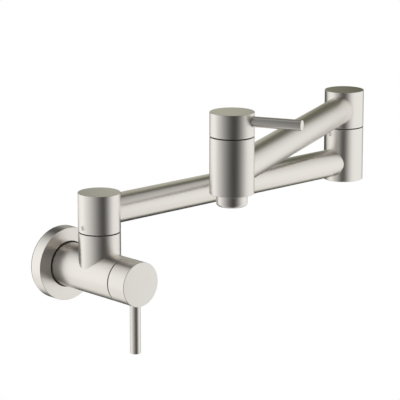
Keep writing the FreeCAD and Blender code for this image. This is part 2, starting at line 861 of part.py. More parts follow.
def make_wall_post():
    """The post that the first barrel turns on, with a water gallery at the arm's height."""
    shoulder = INNER_SEAM - HALF_GAP
    foot = shoulder - S.wall_post_thread_length
    gallery_low = INNER_ARM_HEIGHT - S.gallery_half_height
    gallery_high = INNER_ARM_HEIGHT + S.gallery_half_height
    outline = [
        (S.post_bore_radius, foot),
        (S.post_thread_radius, foot),
        (S.post_thread_radius, shoulder),
        (S.post_radius, shoulder),
    ]
    outline += screw_groove(WALL_SCREW_HEIGHT)
    outline += ring_groove(WALL_POST_LOW_RING)
    outline += groove(S.post_radius, S.gallery_radius, gallery_low, gallery_high)
    outline += ring_groove(WALL_POST_HIGH_RING)
    outline += [
        (S.post_radius, WALL_POST_TOP - S.edge_break),
        (S.post_radius - S.edge_break, WALL_POST_TOP),
        (0, WALL_POST_TOP),
        (0, gallery_high),
        (S.post_bore_radius, gallery_high),
    ]
    ports = [
        cylinder(
            f"wall_post_port{index}",
            S.gallery_port_radius,
            S.post_radius,
            (0, 0, INNER_ARM_HEIGHT),
            "x",
            turn=index * QUARTER_TURN,
        )
        for index in range(4)
    ]
    post = cut("wall_post", turned("wall_post_blank", outline), ports)
    publish(post, "wall_swivel_post", FIRST_SWIVEL)
    heights = (WALL_POST_LOW_RING, WALL_POST_HIGH_RING)
    post_ring_pair("wall_post_rings", heights, "wall_post_orings", FIRST_SWIVEL)
    make_washer("wall_washer", INNER_SEAM, "wall_swivel_washer", FIRST_SWIVEL)


def make_washer(name, seam, label, station):
    """A thin ring in a swivel's seam, on the lower face, a running clearance below the upper one."""
    washer = sleeve(
        name,
        S.post_radius + S.thread_clearance,
        S.washer_radius,
        seam - HALF_GAP,
        seam + HALF_GAP - S.running_clearance,
    )
    publish(washer, label, station)


def make_elbow_post():
    """The post that turns in the elbow's lower barrel and is screwed into the upper one."""
    shoulder = ELBOW_SEAM + HALF_GAP
    top = shoulder + S.elbow_post_thread_length
    outline = [
        (S.post_bore_radius, ELBOW_POST_FOOT),
        (S.post_radius - S.edge_break, ELBOW_POST_FOOT),
        (S.post_radius, ELBOW_POST_FOOT + S.edge_break),
    ]
    for height in ELBOW_POST_RINGS:
        outline += ring_groove(height)
    outline += screw_groove(ELBOW_SCREW_HEIGHT)
    outline += [
        (S.post_radius, shoulder),
        (S.post_thread_radius, shoulder),
        (S.post_thread_radius, top),
        (S.post_bore_radius, top),
    ]
    publish(turned("elbow_post_solid", outline), "elbow_post", OUTER_ARM)
    post_ring_pair("elbow_post_rings", ELBOW_POST_RINGS, "elbow_post_orings", OUTER_ARM)
    make_washer("elbow_washer", ELBOW_SEAM, "elbow_swivel_washer", ELBOW)


def screw_hole(name, height):
    """The tapped hole for a set screw, through a barrel's side that faces away from the free end."""
    radius = S.set_screw_radius + S.thread_clearance
    return cylinder(name, radius, S.barrel_radius + S.overshoot, (0, 0, height), "-x")


def make_inner_hub():
    """The first barrel: a blind bore for the post from below, and the port to the first arm."""
    bore_top = WALL_POST_TOP + S.post_end_gap
    low = INNER_SEAM + HALF_GAP
    blank = turned("inner_hub_blank", barrel_outline(S.barrel_radius, low, INNER_TOP))
    bore = cylinder("inner_hub_bore", POST_BORE, bore_top - low, (0, 0, low))
    port = cylinder(
        "inner_hub_port", S.inner_port_radius, S.barrel_radius, (0, 0, INNER_ARM_HEIGHT), "x"
    )
    hub = cut("inner_hub", blank, [bore, port, screw_hole("inner_hub_tapped", WALL_SCREW_HEIGHT)])
    publish(hub, "inner_arm_hub", FIRST_SWIVEL)


def arm_tube(name, length, height):
    """A tube from barrel to barrel, its ends cut to sit on them."""
    outside = cylinder(f"{name}_outside", S.tube_radius, length, (0, 0, height), "x")
    bore = cylinder(f"{name}_bore", S.tube_radius - S.tube_wall, length, (0, 0, height), "x")
    low = height - S.tube_radius - S.overshoot
    span = (S.tube_radius + S.overshoot) * 2
    near = cylinder(f"{name}_near_end", S.barrel_radius, span, (0, 0, low))
    far = cylinder(f"{name}_far_end", S.barrel_radius, span, (length, 0, low))
    return cut(name, outside, [bore, near, far])


def make_arms():
    inner = arm_tube("inner_tube", S.inner_arm_length, INNER_ARM_HEIGHT)
    publish(inner, "inner_arm_tube", FIRST_SWIVEL)
    outer = arm_tube("outer_tube", S.outer_arm_length, OUTER_ARM_HEIGHT)
    publish(outer, "outer_arm_tube", OUTER_ARM)


def make_elbow_barrels():
    """The elbow's two barrels: the lower one ends the first arm, and the upper one starts the second."""
    lower_top = ELBOW_SEAM - HALF_GAP
    chamber_low = INNER_ARM_HEIGHT - S.arm_chamber_radius
    step = ELBOW_POST_FOOT - S.post_end_gap
    blank = turned("lower_barrel_blank", barrel_outline(S.barrel_radius, INNER_SEAM, lower_top))
    bore_outline = [
        (0, chamber_low),
        (S.arm_chamber_radius, chamber_low),
        (S.arm_chamber_radius, step),
        (POST_BORE, step),
        (POST_BORE, lower_top + S.overshoot),
        (0, lower_top + S.overshoot),
    ]
    port = cylinder(
        "lower_barrel_port", S.arm_port_radius, S.barrel_radius, (0, 0, INNER_ARM_HEIGHT), "-x"
    )
    hole = screw_hole("lower_barrel_tapped", ELBOW_SCREW_HEIGHT)
    lower = cut("lower_barrel", blank, [turned("lower_barrel_bore", bore_outline), port, hole])
    publish(lower, "elbow_lower_barrel", ELBOW)

    upper_low = ELBOW_SEAM + HALF_GAP
    chamber_top = OUTER_ARM_HEIGHT + S.arm_chamber_radius
    thread_end = upper_low + S.elbow_post_thread_length
    blank = turned("upper_barrel_blank", barrel_outline(S.barrel_radius, upper_low, ELBOW_TOP))
    bore_outline = [
        (0, upper_low - S.overshoot),
        (POST_THREAD_BORE, upper_low - S.overshoot),
        (POST_THREAD_BORE, thread_end),
        (S.arm_chamber_radius, thread_end),
        (S.arm_chamber_radius, chamber_top),
        (0, chamber_top),
    ]
    port = cylinder(
        "upper_barrel_port", S.arm_port_radius, S.barrel_radius, (0, 0, OUTER_ARM_HEIGHT), "x"
    )
    upper = cut("upper_barrel", blank, [turned("upper_barrel_bore", bore_outline), port])
    publish(upper, "elbow_upper_barrel", OUTER_ARM)


def make_set_screws():
    """Two like set screws, with their points in the posts' grooves."""
    tip = S.post_radius - S.set_screw_groove_depth + S.set_screw_groove_play
    neck = POST_BORE + S.set_screw_groove_play
    end = S.barrel_radius - S.set_screw_sunk
    outline = [
        (0, tip),
        (S.set_screw_dog_radius, tip),
        (S.set_screw_dog_radius, neck),
        (S.set_screw_radius, neck),
        (S.set_screw_radius, end),
        (0, end),
    ]
    places = ((as_dim(0), WALL_SCREW_HEIGHT), (ELBOW_X, ELBOW_SCREW_HEIGHT))
    screws = []
    for index, (x, height) in enumerate(places):
        key = prism(
            f"set_screw_socket{index}",
            HEXAGON_SIDES,
            hexagon_corner(S.set_screw_socket_flats),
            S.set_screw_socket_depth + S.overshoot,
            (end - S.set_screw_socket_depth, 0, 0),
            "x",
        )
        screw = cut(f"set_screw{index}", turned(f"set_screw_blank{index}", outline, "x"), [key])
        screws.append(stand(screw, (x, 0, height), turn=HALF_TURN))
    publish(group("set_screws", screws), "arm_set_screws", FIRST_SWIVEL)


def make_spout_body():
    """The head: inlet from the second arm, cartridge pocket above, outlet and aerator thread below."""
    top = SPOUT_SEAM - HALF_GAP
    outline = [
        (0, SPOUT_BOTTOM),
        (S.barrel_radius, SPOUT_BOTTOM),
        (S.barrel_radius, top - S.edge_break),
        (S.barrel_radius - S.edge_break, top),
        (0, top),
    ]
    blank = turned("head_blank", outline)
    rounded(blank, "head_round", S.spout_round, S.barrel_radius, SPOUT_BOTTOM)
    recess_top = SPOUT_BOTTOM + S.aerator_thread_length + S.aerator_washer_height
    thread_bore = S.aerator_thread_radius + S.thread_clearance
    outlet_outline = [
        (0, SPOUT_BOTTOM - S.overshoot),
        (thread_bore, SPOUT_BOTTOM - S.overshoot),
        (thread_bore, recess_top),
        (S.outlet_radius, recess_top),
        (S.outlet_radius, SPOUT_SEAT + S.overshoot),
        (0, SPOUT_SEAT + S.overshoot),
    ]
    tools = [
        turned("head_outlet", outlet_outline),
        valve_pocket("head_pocket", "spout", SPOUT_SEAT),
        cylinder("head_port", S.arm_port_radius, S.barrel_radius, (0, 0, OUTER_ARM_HEIGHT), "-x"),
    ]
    publish(cut("head", blank, tools), "spout_body", HEAD)


def make_aerator():
    """The aerator: threaded housing with an inward lip, plastic insert on the lip, washer on top."""
    top = SPOUT_BOTTOM + S.aerator_thread_length
    lip_top = AERATOR_BOTTOM + S.aerator_lip_height
    lip_bore = S.aerator_bore_radius - S.aerator_lip_width
    outline = [
        (lip_bore, AERATOR_BOTTOM),
        (S.aerator_radius, AERATOR_BOTTOM),
        (S.aerator_radius, SPOUT_BOTTOM),
        (S.aerator_thread_radius, SPOUT_BOTTOM),
        (S.aerator_thread_radius, top),
        (S.aerator_bore_radius, top),
        (S.aerator_bore_radius, lip_top),
        (lip_bore, lip_top),
    ]
    housing = turned("aerator_shell", outline)
    rounded(housing, "aerator_shell_round", S.aerator_round, S.aerator_radius, AERATOR_BOTTOM)
    publish(housing, "aerator_housing", HEAD)

    radius = S.aerator_bore_radius - S.thread_clearance
    insert_top = top - S.insert_sunk
    plate_top = lip_top + S.insert_plate
    insert_outline = [
        (0, lip_top),
        (radius, lip_top),
        (radius, insert_top),
        (radius - S.insert_wall, insert_top),
        (radius - S.insert_wall, plate_top),
        (0, plate_top),
    ]
    holes = [cylinder("insert_hole", S.insert_hole_radius, S.insert_plate, (0, 0, lip_top))]
    for ring_index, count in enumerate(INSERT_RINGS, start=1):
        ring_radius = S.insert_ring_spacing * ring_index
        for index in range(count):
            angle = math.radians(index * FULL_TURN / count)
            place = (ring_radius * math.cos(angle), ring_radius * math.sin(angle), lip_top)
            name = f"insert_hole{ring_index}_{index}"
            holes.append(cylinder(name, S.insert_hole_radius, S.insert_plate, place))
    insert = cut("insert", turned("insert_blank", insert_outline), holes)
    publish(insert, "aerator_insert", HEAD)

    inner = S.aerator_thread_radius - S.aerator_washer_width
    washer = sleeve("head_washer", inner, S.aerator_thread_radius, top, top + S.aerator_washer_height)
    publish(washer, "aerator_washer", HEAD)


def check_document():
    """Stops on any object that failed, and on any sub-part that isn't a sound solid."""
    failed = [item.Name for item in DOC.Objects if {"Invalid", "Error"} & set(item.State)]
    if failed:
        raise RuntimeError(f"failed objects: {failed}")
    for part in PARTS:
        shape = part.Shape
        if shape.isNull() or not shape.isValid() or not shape.Solids:
            raise RuntimeError(f"{part.Label}: no sound solid")
        print(f"{part.Label}: {len(shape.Solids)} solid, {shape.Volume:.1f} mm3")


def main():
    make_flange()
    make_wall_body()
    make_wall_post()
    make_inner_hub()
    make_arms()
    make_elbow_barrels()
    make_elbow_post()
    make_set_screws()
    make_spout_body()
    make_aerator()
    for side in ("wall", "spout"):
        make_cartridge(side)
        make_handle(side)
    DOC.recompute()
    check_document()
    os.makedirs("parts", exist_ok=True)
    for part in PARTS:
        part.Shape.exportStep(f"parts/{part.Label}.step")


main()
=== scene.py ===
"""A wall mounted pot filler in satin nickel, dressed and set in a plain studio.

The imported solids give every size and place. The shells that show are made again here as fine turned
surfaces, with their rounded edges, saddle joints, screw holes and inlet thread, and every piece gets
the finish that it has in the metal. Metres, +Z up, the wall at y = 0, the room towards -Y.
"""

import json
import logging
import math
from collections.abc import Callable
from dataclasses import dataclass
from enum import Enum

import bpy
import numpy as np
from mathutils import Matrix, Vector

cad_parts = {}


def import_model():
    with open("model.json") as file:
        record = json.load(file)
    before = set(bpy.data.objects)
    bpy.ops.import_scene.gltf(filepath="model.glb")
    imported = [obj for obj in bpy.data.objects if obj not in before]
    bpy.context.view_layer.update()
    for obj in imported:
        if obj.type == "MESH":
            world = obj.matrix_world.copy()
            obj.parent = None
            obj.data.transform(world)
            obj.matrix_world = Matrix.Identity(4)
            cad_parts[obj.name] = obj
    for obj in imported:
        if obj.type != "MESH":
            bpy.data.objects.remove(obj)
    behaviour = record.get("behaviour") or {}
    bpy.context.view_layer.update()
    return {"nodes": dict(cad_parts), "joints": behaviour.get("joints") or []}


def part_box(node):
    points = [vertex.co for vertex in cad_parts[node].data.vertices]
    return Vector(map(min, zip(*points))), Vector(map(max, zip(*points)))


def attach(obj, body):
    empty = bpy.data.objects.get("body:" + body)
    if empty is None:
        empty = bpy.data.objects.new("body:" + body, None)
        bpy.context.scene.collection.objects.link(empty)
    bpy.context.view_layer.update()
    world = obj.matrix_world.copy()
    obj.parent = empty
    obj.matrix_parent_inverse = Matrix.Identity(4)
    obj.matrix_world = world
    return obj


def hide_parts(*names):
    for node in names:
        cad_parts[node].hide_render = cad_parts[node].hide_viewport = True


LOG = logging.getLogger("pot_filler")

Array = np.ndarray
Corners = list[tuple[float, ...]]
Tree = bpy.types.NodeTree
Socket = bpy.types.NodeSocket
Colour = tuple[float, float, float, float]

MM = 0.001
HALF_TURN = math.pi
QUARTER_TURN = math.pi / 2
UP = np.array((0.0, 0.0, 1.0))
ALONG_WALL = np.array((1.0, 0.0, 0.0))
INTO_ROOM = np.array((0.0, -1.0, 0.0))

EDGE = 0.4 * MM  # every outer edge is broken by hand after turning
SEAM = 0.12 * MM  # what the polishing takes off each side of a seam
CHAMBER = 11.5 * MM  # radius of both cartridges' chambers
COUNTERBORE = 14.5 * MM  # radius of the counterbores in front of them
POST_SEAT = 8.65 * MM  # radius of the bores that the swivel posts are screwed into
ARC_STEPS = 6  # stretches in a rounded corner
STRAIGHT = 1e-9  # in radians: where an outline turns less, there is no corner
BLOCK_RINGS = 5  # rows of the patch round a hole
RING_SPACING = 0.7  # below 1, the rings stand wider apart at the block's border
SAME_ROW = 1 + 1e-6  # slack that lets the rows on a block's border count as in it
WELD_STEP = 0.5e-6  # side of the cells in which points are taken for one
WELD_SHIFT = 0.137e-6  # keeps round numbers off the limits between two such cells
NO_AREA = 1e-20  # keeps a face that shrank to a line from dividing by nought
GRAIN_MAP = "Grain"
WHITE = (1.0, 1.0, 1.0, 1.0)


class Grain(Enum):
    """Which way the brush lines of a turned piece run."""

    ROUND = "round the axis"
    ALONG = "along the axis"


class Slot(Enum):
    """The record's material slots."""

    NICKEL = "satin_nickel"
    BRASS = "machined_brass"
    RUBBER = "black_rubber"
    FOAM = "grey_foam"
    NYLON = "black_nylon"
    CERAMIC = "white_ceramic"
    STEEL = "stainless_steel"
    ACETAL = "aerator_plastic"


# ---- Surfaces ----


@dataclass(frozen=True)
class Axis:
    """A line that a piece is turned about."""

    origin: Array  # the point on it where heights are nought
    along: Array  # its unit direction
    across: Array  # the unit direction, square to it, where angles are nought

    @property
    def side(self) -> Array:
        """The direction at a quarter turn."""
        return np.cross(self.along, self.across)

    def outward(self, angle: Array) -> Array:
        """across cos(angle) + side sin(angle)."""
        return np.cos(angle)[..., None] * self.across + np.sin(angle)[..., None] * self.side

    def lean(self, out: Array, angle: Array, up: Array) -> Array:
        """out outward(angle) + up along, for numbers or arrays that spread over each other."""
        out, angle, up = np.broadcast_arrays(out, angle, up)
        return out[..., None] * self.outward(angle) + up[..., None] * self.along

    def place(self, radius: Array, angle: Array, height: Array) -> Array:
        """The points at distances from the axis, angles and heights."""
        return self.origin + self.lean(radius, angle, height)

    def drill(self, height: float) -> "Axis":
        """The axis of a hole square into this one's wall, at angle nought and a height."""
        return Axis(self.origin + height * self.along, self.across, self.side)

    def extent(self, node: str) -> tuple[float, float]:
        """How far a node's box reaches along this axis, lowest and highest."""
        reach = (np.array(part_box(node)) - self.origin) @ self.along
        return float(reach.min()), float(reach.max())

    def girth(self, node: str) -> float:
        """Half the width of a node's box across this axis."""
        return float(np.ptp(np.array(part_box(node)) @ np.abs(np.round(self.side)))) / 2


def upright(x: float, y: float, across: Array = ALONG_WALL) -> Axis:
    """An upright axis through a place in the plan, with heights from the wall's own axis."""
    return Axis(np.array((x, y, 0.0)), UP, across)


PLUMB = upright(0.0, 0.0)  # what heights and girths of upright pieces are read from


@dataclass(frozen=True)
class Outline:
    """A turned piece's outline, as rows that the surface runs through."""

    radius: Array  # distance from the axis
    height: Array  # distance along the axis
    out: Array  # the normal's part away from the axis
    up: Array  # the normal's part along the axis

    @property
    def path(self) -> Array:
        """The length run along the outline up to each row."""
        steps = np.hypot(np.diff(self.radius), np.diff(self.height))
        return np.concatenate(([0.0], np.cumsum(steps)))


def outline(corners: Corners, closed: bool = False) -> Outline:
    """An outline through corners, with the solid on its left.

    A corner of (radius, height) is sharp and gives two rows with a normal each. One of
    (radius, height, rounding) becomes an arc: centre + rounding (cos t, sin t), where t runs from
    the normal of the stretch before to that of the stretch after, and the centre lies a rounding
    off both.

    Args:
        corners: the corners in order.
        closed: whether the last corner joins the first.

    Returns:
        The outline's rows.
    """
    points = np.array([corner[:2] for corner in corners], float)
    ahead = np.roll(points, -1, axis=0) - points
    ahead /= np.linalg.norm(ahead, axis=1, keepdims=True)
    last = len(corners) - 1
    rows = []
    for index, corner in enumerate(corners):
        before = ahead[index - 1] if closed or index > 0 else ahead[index]
        after = ahead[index] if closed or index < last else before
        turn = math.atan2(before[0] * after[1] - before[1] * after[0], before @ after)
        start = math.atan2(-before[0], before[1])
        rounding = math.copysign(corner[2], turn) if len(corner) > 2 else 0.0
        count = ARC_STEPS + 1 if rounding else 2
        count = 1 if abs(turn) < STRAIGHT else count
        direction = start + turn * np.linspace(0.0, 1.0, count)
        normal = np.stack((np.cos(direction), np.sin(direction)), axis=1)
        setback = abs(rounding) * math.tan(abs(turn) / 2)
        centre = points[index] - before * setback - normal[0] * rounding
        rows.append(np.hstack((centre + normal * rounding, normal)))
    if closed:
        rows.append(rows[0][:1])
    return Outline(*np.vstack(rows).T)


@dataclass
class Patch:
    """A grid of surface."""

    points: Array  # (rows, columns, 3)
    normals: Array  # one for each point, for each column or for all
    grain: tuple[Array, ...] | Array  # metres along and across the brush lines
    flat: bool = False  # whether each face keeps its own normal
    kept: Array | None = None  # (rows - 1, columns - 1) whether a face stays

    def __post_init__(self) -> None:
        """Spreads the normals and the grain over the grid."""
        self.normals = np.broadcast_to(self.normals, self.points.shape)
        ways = [np.broadcast_to(way, self.points.shape[:2]) for way in self.grain]
        self.grain = np.stack(ways, axis=-1)

    def quads(self, first: int) -> Array:
        """The kept faces.

        Args:
            first: the number of this patch's first point.

        Returns:
            Their corners' numbers, wound so that the faces point outwards.
        """
        rows, columns = self.points.shape[:2]
        number = first + np.arange(rows * columns).reshape(rows, columns)
        low, high = number[:-1], number[1:]
        faces = np.stack((low[:, :-1], low[:, 1:], high[:, 1:], high[:, :-1]), axis=-1)
        return faces.reshape(-1, 4) if self.kept is None else faces[self.kept]


def round_angles(segments: int) -> Array:
    """Angles all round, from half a turn behind to half a turn ahead, ends included."""
    return np.linspace(-HALF_TURN, HALF_TURN, segments + 1)


def turned(
    axis: Axis,
    shape: Outline,
    angles: Array,
    grain: Grain = Grain.ROUND,
    heights: Callable[[Array, Array, Array], Array] | None = None,
) -> Patch:
    """An outline carried round an axis.

    point = origin + radius (across cos a + side sin a) + height along, with the outline's own
    normals, so that flat faces stay flat and arcs stay round in what they mirror.

    Args:
        axis: what it is turned about.
        shape: the outline.
        angles: the columns' angles, the last one the same place as the first.
        grain: which way the brush lines run.
        heights: bends the heights by radius and angle, for an end that sits on a round wall.

    Returns:
        The surface.
    """
    radius, height, angle = shape.radius[:, None], shape.height[:, None], angles[None, :]
    points = axis.place(radius, angle, heights(radius, angle, height) if heights else height)
    normals = axis.lean(shape.out[:, None], angle, shape.up[:, None])
    ways = (angle * shape.radius.max(), shape.path[:, None])
    return Patch(points, normals, ways if grain is Grain.ROUND else ways[::-1])


def grid_normals(points: Array) -> Array:
    """Normals of a grid that closes on itself from column to column: (d/dcolumn) x (d/drow).

    Args:
        points: the grid's points, the last column the same as the first.

    Returns:
        The unit normals.
    """
    ring = points[:, :-1]
    by_column = np.roll(ring, -1, axis=1) - np.roll(ring, 1, axis=1)
    normal = np.cross(by_column, np.gradient(ring, axis=0))
    normal /= np.linalg.norm(normal, axis=-1, keepdims=True)
    return np.concatenate((normal, normal[:, :1]), axis=1)


@dataclass(frozen=True)
class Hole:
    """A round hole square into a turned wall, at angle nought."""

    height: float  # on the wall's axis
    radius: float
    cells: int  # faces along each side of the square block that it is cut in
    half_height: float  # half the block's height
    edge: float = 0.0  # the rounding of its mouth
    floor: float | None = None  # how far from the wall's axis it stops, if it does

    @property
    def ring(self) -> Array:
        """The block's border, with the block taken as (-1..1, -1..1).

        Returns:
            Points along it, anticlockwise, the last one the same as the first.
        """
        side = np.linspace(-1.0, 1.0, self.cells + 1)[:-1]
        one = np.ones(self.cells)
        sides = [(side, -one), (one, side), (-side, one), (-one, -side)]
        ring = np.concatenate([np.stack(pair, axis=1) for pair in sides])
        return np.vstack((ring, ring[:1]))

    @property
    def angles(self) -> Array:
        """The angle round the hole's own axis of each point of the ring."""
        return np.unwrap(np.arctan2(self.ring[:, 1], self.ring[:, 0]))

    def wall_corners(self, wall_radius: float) -> list[tuple[float, float]]:
        """The outline points that give the wall its rows for the block."""
        rows = self.height + self.half_height * np.linspace(-1.0, 1.0, self.cells + 1)
        return [(wall_radius, height) for height in rows]

    def bore(self, axis: Axis, wall_radius: float) -> list[Patch]:
        """The mouth, the bore and its floor.

        Through the mouth the radius shrinks by edge sin b, and the surface sinks by
        edge (1 - cos b) below the wall, which stands at sqrt(wall radius^2 - (r cos a)^2).

        Args:
            axis: the wall's axis.
            wall_radius: the wall's radius.

        Returns:
            The three surfaces.
        """
        drill, turn = axis.drill(self.height), self.angles
        bend = np.linspace(0.0, QUARTER_TURN, ARC_STEPS + 1)[:, None]
        radius = self.radius + self.edge * (1 - np.sin(bend))
        sunk = self.edge * (1 - np.cos(bend))
        aside = radius * np.cos(turn)
        height = np.sqrt(wall_radius**2 - aside**2) - sunk
        inward = -drill.outward(turn)
        on_wall = axis.outward(np.arcsin(aside / wall_radius))
        normals = np.cos(bend)[..., None] * on_wall + np.sin(bend)[..., None] * inward
        depth = np.vstack((height[-1], np.full_like(turn, self.floor)))
        reach = np.array((self.radius, 0.0))[:, None]
        return [
            Patch(drill.place(radius, turn, height), normals, (radius * turn, sunk)),
            Patch(drill.place(self.radius, turn, depth), inward, (self.radius * turn, depth)),
            Patch(drill.place(reach, turn, self.floor), drill.along, (reach * turn, reach)),
        ]

    def turned(self, axis: Axis, shape: Outline, segments: int, wall_radius: float) -> list[Patch]:
        """Carries an outline round an axis and cuts the hole in its wall.

        The wall loses a square block of faces. A patch of rings fills it, blending in
        (angle, height) from the block's border to the circle x = r cos a, y = r sin a, whose angle
        on the wall is asin(x / wall radius).

        Args:
            axis: the wall's axis.
            shape: the outline, with this hole's wall corners in it.
            segments: columns round the axis.
            wall_radius: the wall's radius.

        Returns:
            The turned surface without its block, and the patches that fill it.
        """
        wall = turned(axis, shape, round_angles(segments))
        middle, half = segments // 2, self.cells // 2
        off = np.abs(shape.height - self.height)
        in_rows = np.isclose(shape.radius, wall_radius) & (off < self.half_height * SAME_ROW)
        first, last = np.flatnonzero(in_rows)[[0, -1]]
        wall.kept = np.ones((len(shape.radius) - 1, segments), bool)
        wall.kept[first:last, middle - half : middle + half] = False

        mouth = self.radius + self.edge
        share = np.linspace(0.0, 1.0, BLOCK_RINGS)[:, None] ** RING_SPACING
        border_angle, border_height = self.ring.T
        border_angle = border_angle * half * 2 * HALF_TURN / segments
        circle_angle = np.arcsin(mouth * np.cos(self.angles) / wall_radius)
        angle = (1 - share) * border_angle + share * circle_angle
        height = (1 - share) * border_height * self.half_height + share * mouth * np.sin(self.angles)
        height = self.height + height
        start = shape.path[first] - shape.height[first]
        grain = (angle * shape.radius.max(), height + start)
        block = Patch(axis.place(wall_radius, angle, height), axis.outward(angle), grain)
        return [wall, block, *(self.bore(axis, wall_radius) if self.floor else [])]


def weld(points: Array, corners: Array) -> tuple[Array, Array]:
    """Joins the points that fall in one cell of a very fine lattice.

    Args:
        points: the points.
        corners: the faces' corners, as numbers of points.

    Returns:
        The numbers of the points that stay, and the corners numbered by those.
    """
    cells = np.round((points + WELD_SHIFT) / WELD_STEP).astype(np.int64)
    _, kept, welded = np.unique(cells, axis=0, return_index=True, return_inverse=True)
    used, sewn = np.unique(welded.reshape(-1)[corners], return_inverse=True)
    return kept[used], sewn.reshape(corners.shape)


class Shell:
    """A mesh sewn together from patches."""

    def __init__(self, name: str, *patches: Patch) -> None:
        """Starts a shell with the piece's name and its patches."""
        self.name = name
        self.patches = patches

    def sew(self) -> bpy.types.Object:
        """Welds the patches where they meet, and drops the sides that shrank to a point.

        Returns:
            The piece, at the origin, with its grain map and the patches' own normals.
        """
        points = np.concatenate([patch.points.reshape(-1, 3) for patch in self.patches])
        normals = np.concatenate([patch.normals.reshape(-1, 3) for patch in self.patches])
        grain = np.concatenate([patch.grain.reshape(-1, 2) for patch in self.patches])
        firsts = np.cumsum([0, *(patch.points.size // 3 for patch in self.patches[:-1])])
        quads = [patch.quads(first) for patch, first in zip(self.patches, firsts, strict=True)]
        flat = np.repeat([patch.flat for patch in self.patches], [len(faces) for faces in quads])
        corners = np.concatenate(quads)
        kept, sewn = weld(points, corners)
        diagonals = points[corners[:, 2:]] - points[corners[:, :2]]
        own = np.cross(diagonals[:, 0], diagonals[:, 1])
        own /= np.maximum(np.linalg.norm(own, axis=1, keepdims=True), NO_AREA)
        corner_normals = np.where(flat[:, None, None], own[:, None, :], normals[corners])
        apart = sewn != np.roll(sewn, 1, axis=1)
        whole = apart.sum(axis=1) > 2
        apart &= whole[:, None]
        sides = apart.sum(axis=1)[whole]

        mesh = bpy.data.meshes.new(self.name)
        mesh.vertices.add(len(kept))
        mesh.vertices.foreach_set("co", points[kept].ravel())
        mesh.loops.add(int(sides.sum()))
        mesh.loops.foreach_set("vertex_index", sewn[apart].astype(np.int32))
        mesh.polygons.add(len(sides))
        mesh.polygons.foreach_set("loop_start", (np.cumsum(sides) - sides).astype(np.int32))
        mesh.update(calc_edges=True)
        layer = mesh.uv_layers.new(name=GRAIN_MAP)
        layer.uv.foreach_set("vector", grain[corners][apart].ravel())
        mesh.shade_smooth()
        mesh.normals_split_custom_set(corner_normals[apart])
        if mesh.validate():
            LOG.warning("%s had faces that were not valid", self.name)
        edges = np.zeros(len(mesh.loops), np.int32)
        mesh.loops.foreach_get("edge_index", edges)
        open_edges = int((np.bincount(edges) != 2).sum())
        LOG.info("%s: %d faces, %d open edges", self.name, len(sides), open_edges)
        piece = bpy.data.objects.new(self.name, mesh)
        bpy.context.scene.collection.objects.link(piece)
        return piece


# ---- Finishes ----


def linear(code: str) -> Colour:
    """The linear colour of an sRGB hex code, by the curve of the sRGB standard.

    Args:
        code: the hex code, such as "C9C4BC".

    Returns:
        Its red, green and blue, and an alpha of 1.
    """
    shares = np.array([int(code[index : index + 2], 16) for index in (0, 2, 4)]) / 255
    light = np.where(shares <= 0.04045, shares / 12.92, ((shares + 0.055) / 1.055) ** 2.4)
    return (*light.tolist(), 1.0)


def add_node(tree: Tree, kind: str, inputs: dict | None = None, **settings: object) -> bpy.types.Node:
    """Adds a node.

    Args:
        tree: the node tree.
        kind: the node's type name after ShaderNode.
        inputs: values for its sockets, or other nodes' outputs to link to them.
        settings: the node's own properties.

    Returns:
        The node.
    """
    node = tree.nodes.new(f"ShaderNode{kind}")
    for key, value in settings.items():
        setattr(node, key, value)
    for key, value in (inputs or {}).items():
        if isinstance(value, Socket):
            tree.links.new(value, node.inputs[key])
        else:
            node.inputs[key].default_value = value
    return node


def maths(tree: Tree, operation: str, *values: Socket | float) -> Socket:
    """What a Math node makes of its values."""
    return add_node(tree, "Math", dict(enumerate(values)), operation=operation).outputs[0]


def mixed(tree: Tree, share: Socket | float, first: object, second: object, **settings: str) -> Socket:
    """first (1 - share) + second share, or as the settings say."""
    inputs = {"Factor": share, "A": first, "B": second}
    return add_node(tree, "Mix", inputs, **settings).outputs["Result"]


def noise(tree: Tree, place: Socket, cells: tuple[float, ...], detail: float = 2.0) -> Socket:
    """A noise of blots drawn out along the coordinates.

    Args:
        tree: the node tree.
        place: the three coordinates that it reads.
        cells: how many metres a blot measures along each, or 0 where it doesn't change.
        detail: how many finer layers it has.

    Returns:
        Its value, from 0 to 1.
    """
    scale = tuple(1 / cell if cell else 0.0 for cell in cells)
    spread = add_node(tree, "Mapping", {"Vector": place, "Scale": scale}).outputs["Vector"]
    inputs = {"Vector": spread, "Scale": 1.0, "Detail": detail}
    return add_node(tree, "TexNoise", inputs).outputs["Fac"]


def blank(name: str) -> bpy.types.Material:
    """A new material with no nodes in it.

    Args:
        name: the material's name.

    Returns:
        The material.
    """
    made = bpy.data.materials.new(name)
    made.use_nodes = True
    made.node_tree.nodes.clear()
    return made


